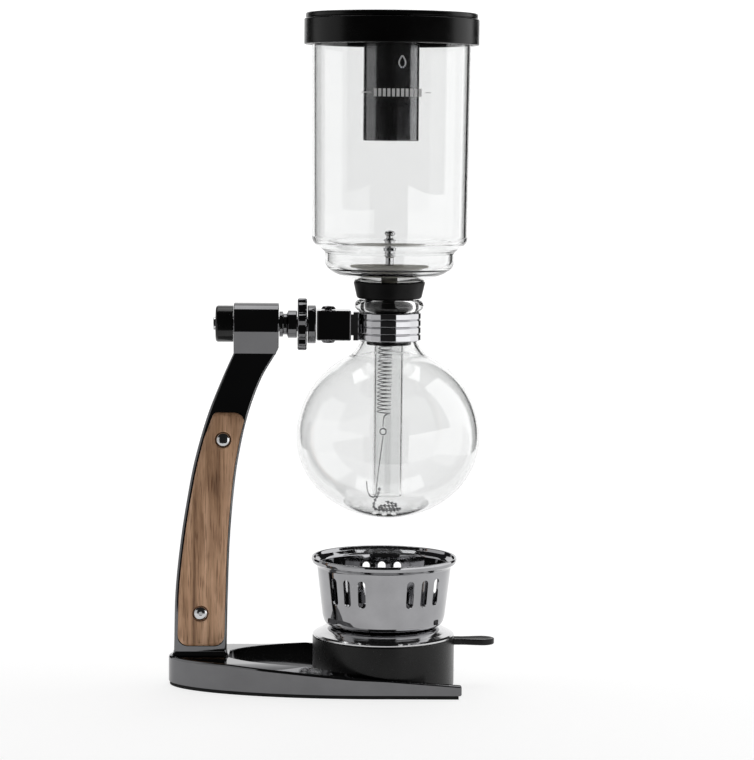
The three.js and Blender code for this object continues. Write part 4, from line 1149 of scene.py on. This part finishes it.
def make_shield():
    foot, hole = SHIELD_Z0, 10.0
    bowl = burner_turned(eased([
        (hole, foot, 0.3), (28.5, foot, 2.0), (32.4, foot + 1.8, 4), (33.5, foot + 6.0, 5), (36.7, 66.0, 2.2),
        (39.2, 67.9, 0.8), (39.8, 69.6, 0.9), (39.5, SHIELD_Z1, 0.5), (38.5, SHIELD_Z1 - 0.2, 0.8),
        (38.0, 69.0, 1.2), (35.8, 66.9, 2.2), (32.5, foot + 6.2, 4), (31.4, foot + 2.8, 3),
        (28.0, foot + 1.0, 2), (hole, foot + 1.0, 0.3),
    ], True), 180, True)
    half, straight = SLOT_WIDTH / 2, (SLOT_HEIGHT - SLOT_WIDTH) / 2
    outline = arc(0, SLOT_Z + straight, half, half, 0, 180, 10)
    outline += arc(0, SLOT_Z - straight, half, half, 180, 360, 10)
    to_burner = Matrix.Translation((BURNER_X * MM, 0, 0))
    tools = []
    for group in range(SLOT_GROUPS):
        for k in range(SLOTS_EACH):
            turn = FIRST_SLOT + group * 360 / SLOT_GROUPS + (k - (SLOTS_EACH - 1) / 2) * SLOT_PITCH
            tool = plate(outline, -60, -20)
            tool.data.transform(to_burner @ Matrix.Rotation(math.radians(turn), 4, "Z"))
            tools.append(tool)
    return cut(bowl, *tools)


shown("flame_wind_shield", "wind_shield", make_shield(), 30)

low, high = bottom_top("wick_holder")
HOLDER_BORE = WICK_R + GAP
holder_profile = eased([
    (HOLDER_BORE, low), (9.0, low), (9.0, 33.0, 0.5), (8.6, 33.9, 0.3), (6.4, 34.6, 0.5),
    (6.4, high - 0.3, 0.4), (5.7, high, 0.3), (HOLDER_BORE, high, 0.2),
], True)
shown("wick_tube", "wick_holder", burner_turned(holder_profile, FEW_SIDES, True))
low, high = bottom_top("wick")
wick_profile = eased([(0, low), (WICK_R, low), (WICK_R, high - 0.5, 1.2), (0, high)])
shown("cotton_wick", "wick", burner_turned(wick_profile, 40))


# ---------------------------------------------------------------- studio
TABLE_FRONT, BEND_START, BEND_R = -240, 520, 420
SWEEP_TOP, SWEEP_HALF = 1700, 480
GLOW_NEAR, GLOW_FAR = 0.78, 0.88  # light that the sweep gives off, at the brewer and at the back


def make_sweep():
    """A pale table that runs on into its backdrop without a line."""
    profile = [(lerp(TABLE_FRONT, BEND_START, i / 12), 0) for i in range(12)]
    profile += arc(BEND_START, BEND_R, BEND_R, BEND_R, -90, 0, 24)
    profile.append((BEND_START + BEND_R, SWEEP_TOP))
    points = [(side * SWEEP_HALF, y, z) for y, z in profile for side in (-1, 1)]
    faces = [(2 * i, 2 * i + 1, 2 * i + 3, 2 * i + 2) for i in range(len(profile) - 1)]
    made = solid(points, faces)
    made.name = "sweep"
    finish = Finish("sweep", Roughness=0.7, Specular_IOR_Level=0.0)
    finish.link(finish.ramp(finish.noise(3), (0.3, grey(0.345)), (0.7, grey(0.35))), "Base Color")
    finish.shader.inputs["Emission Color"].default_value = (1, 1, 1, 1)
    split = finish.nodes.new("ShaderNodeSeparateXYZ")
    finish.links.new(finish.place, split.inputs["Vector"])
    depth = finish.between(split.outputs["Y"], GLOW_NEAR, GLOW_FAR, 0.0, (BEND_START + BEND_R) * MM)
    finish.link(depth, "Emission Strength")
    made.data.materials.append(finish.material)
    made.data.shade_smooth()


make_sweep()


def softbox(name, start, end, bottom, top, radiance):
    """An upright lamp between two points of the plan, facing the brewer."""
    start, end = Vector((*start, 0)) * MM, Vector((*end, 0)) * MM
    up = Vector((0, 0, 1))
    middle = (start + end) / 2
    middle.z = (bottom + top) / 2 * MM
    data = bpy.data.lights.new(name, "AREA")
    data.shape = "RECTANGLE"
    data.size = (end - start).length
    data.size_y = (top - bottom) * MM
    data.energy = radiance * math.pi * data.size * data.size_y
    lamp = bpy.data.objects.new(name, data)
    bpy.context.scene.collection.objects.link(lamp)
    across = (end - start).normalized()
    inward = across.cross(up)
    if inward.dot(Vector((GLASS_X * MM, 0, middle.z)) - middle) < 0:
        across, inward = -across, -inward
    basis = Matrix((-across, up, -inward)).transposed()
    lamp.matrix_world = Matrix.Translation(middle) @ basis.to_4x4()


BOX_BOTTOM, LOW_BOX_TOP = -250, 250
softbox("key_right_low", (330, -690), (640, -79), BOX_BOTTOM, LOW_BOX_TOP, 1.7)
softbox("key_right", (641, -77), (810, 620), BOX_BOTTOM, 1000, 1.6)
softbox("fill_left_low", (-370, -640), (-545, -243), BOX_BOTTOM, LOW_BOX_TOP, 0.7)
softbox("fill_left", (-546, -241), (-790, 560), BOX_BOTTOM, 620, 0.8)

OVERHEAD_WIDTH, OVERHEAD_DEPTH, OVERHEAD_WATTS, OVERHEAD_TILT = 900, 500, 3.2, 12
overhead_data = bpy.data.lights.new("overhead", "AREA")
overhead_data.shape = "RECTANGLE"
overhead_data.size = OVERHEAD_WIDTH * MM
overhead_data.size_y = OVERHEAD_DEPTH * MM
overhead_data.energy = OVERHEAD_WATTS
overhead = bpy.data.objects.new("overhead", overhead_data)
overhead.location = Vector((0, 250, 950)) * MM
overhead.rotation_euler = (math.radians(OVERHEAD_TILT), 0, 0)
bpy.context.scene.collection.objects.link(overhead)

world = bpy.data.worlds.new("studio")
world.use_nodes = True
world.node_tree.nodes["Background"].inputs["Color"].default_value = (0.02, 0.02, 0.02, 1)
bpy.context.scene.world = world

CAMERA_DISTANCE, CAMERA_HEIGHT, CAMERA_SIDE = 1466, 301, -6.2
CAMERA_PITCH, CAMERA_TURN, CAMERA_ROLL = 5.20, -1.7, 0.55
CAMERA_LENS = 129.2
camera_data = bpy.data.cameras.new("camera")
camera_data.lens = CAMERA_LENS
camera_data.sensor_fit = "HORIZONTAL"
camera_data.clip_end = 20
camera = bpy.data.objects.new("camera", camera_data)
bpy.context.scene.collection.objects.link(camera)
around = Matrix.Rotation(math.radians(CAMERA_TURN), 4, "Z")
aim = Matrix.Rotation(math.radians(90 - CAMERA_PITCH), 4, "X")
aim @= Matrix.Rotation(math.radians(CAMERA_ROLL), 4, "Z")
stand = Matrix.Translation(Vector((CAMERA_SIDE, -CAMERA_DISTANCE, CAMERA_HEIGHT)) * MM)
camera.matrix_world = Matrix.Translation((GLASS_X * MM, 0, 0)) @ around @ stand @ aim
bpy.context.scene.camera = camera
bpy.context.scene.view_settings.view_transform = "Standard"
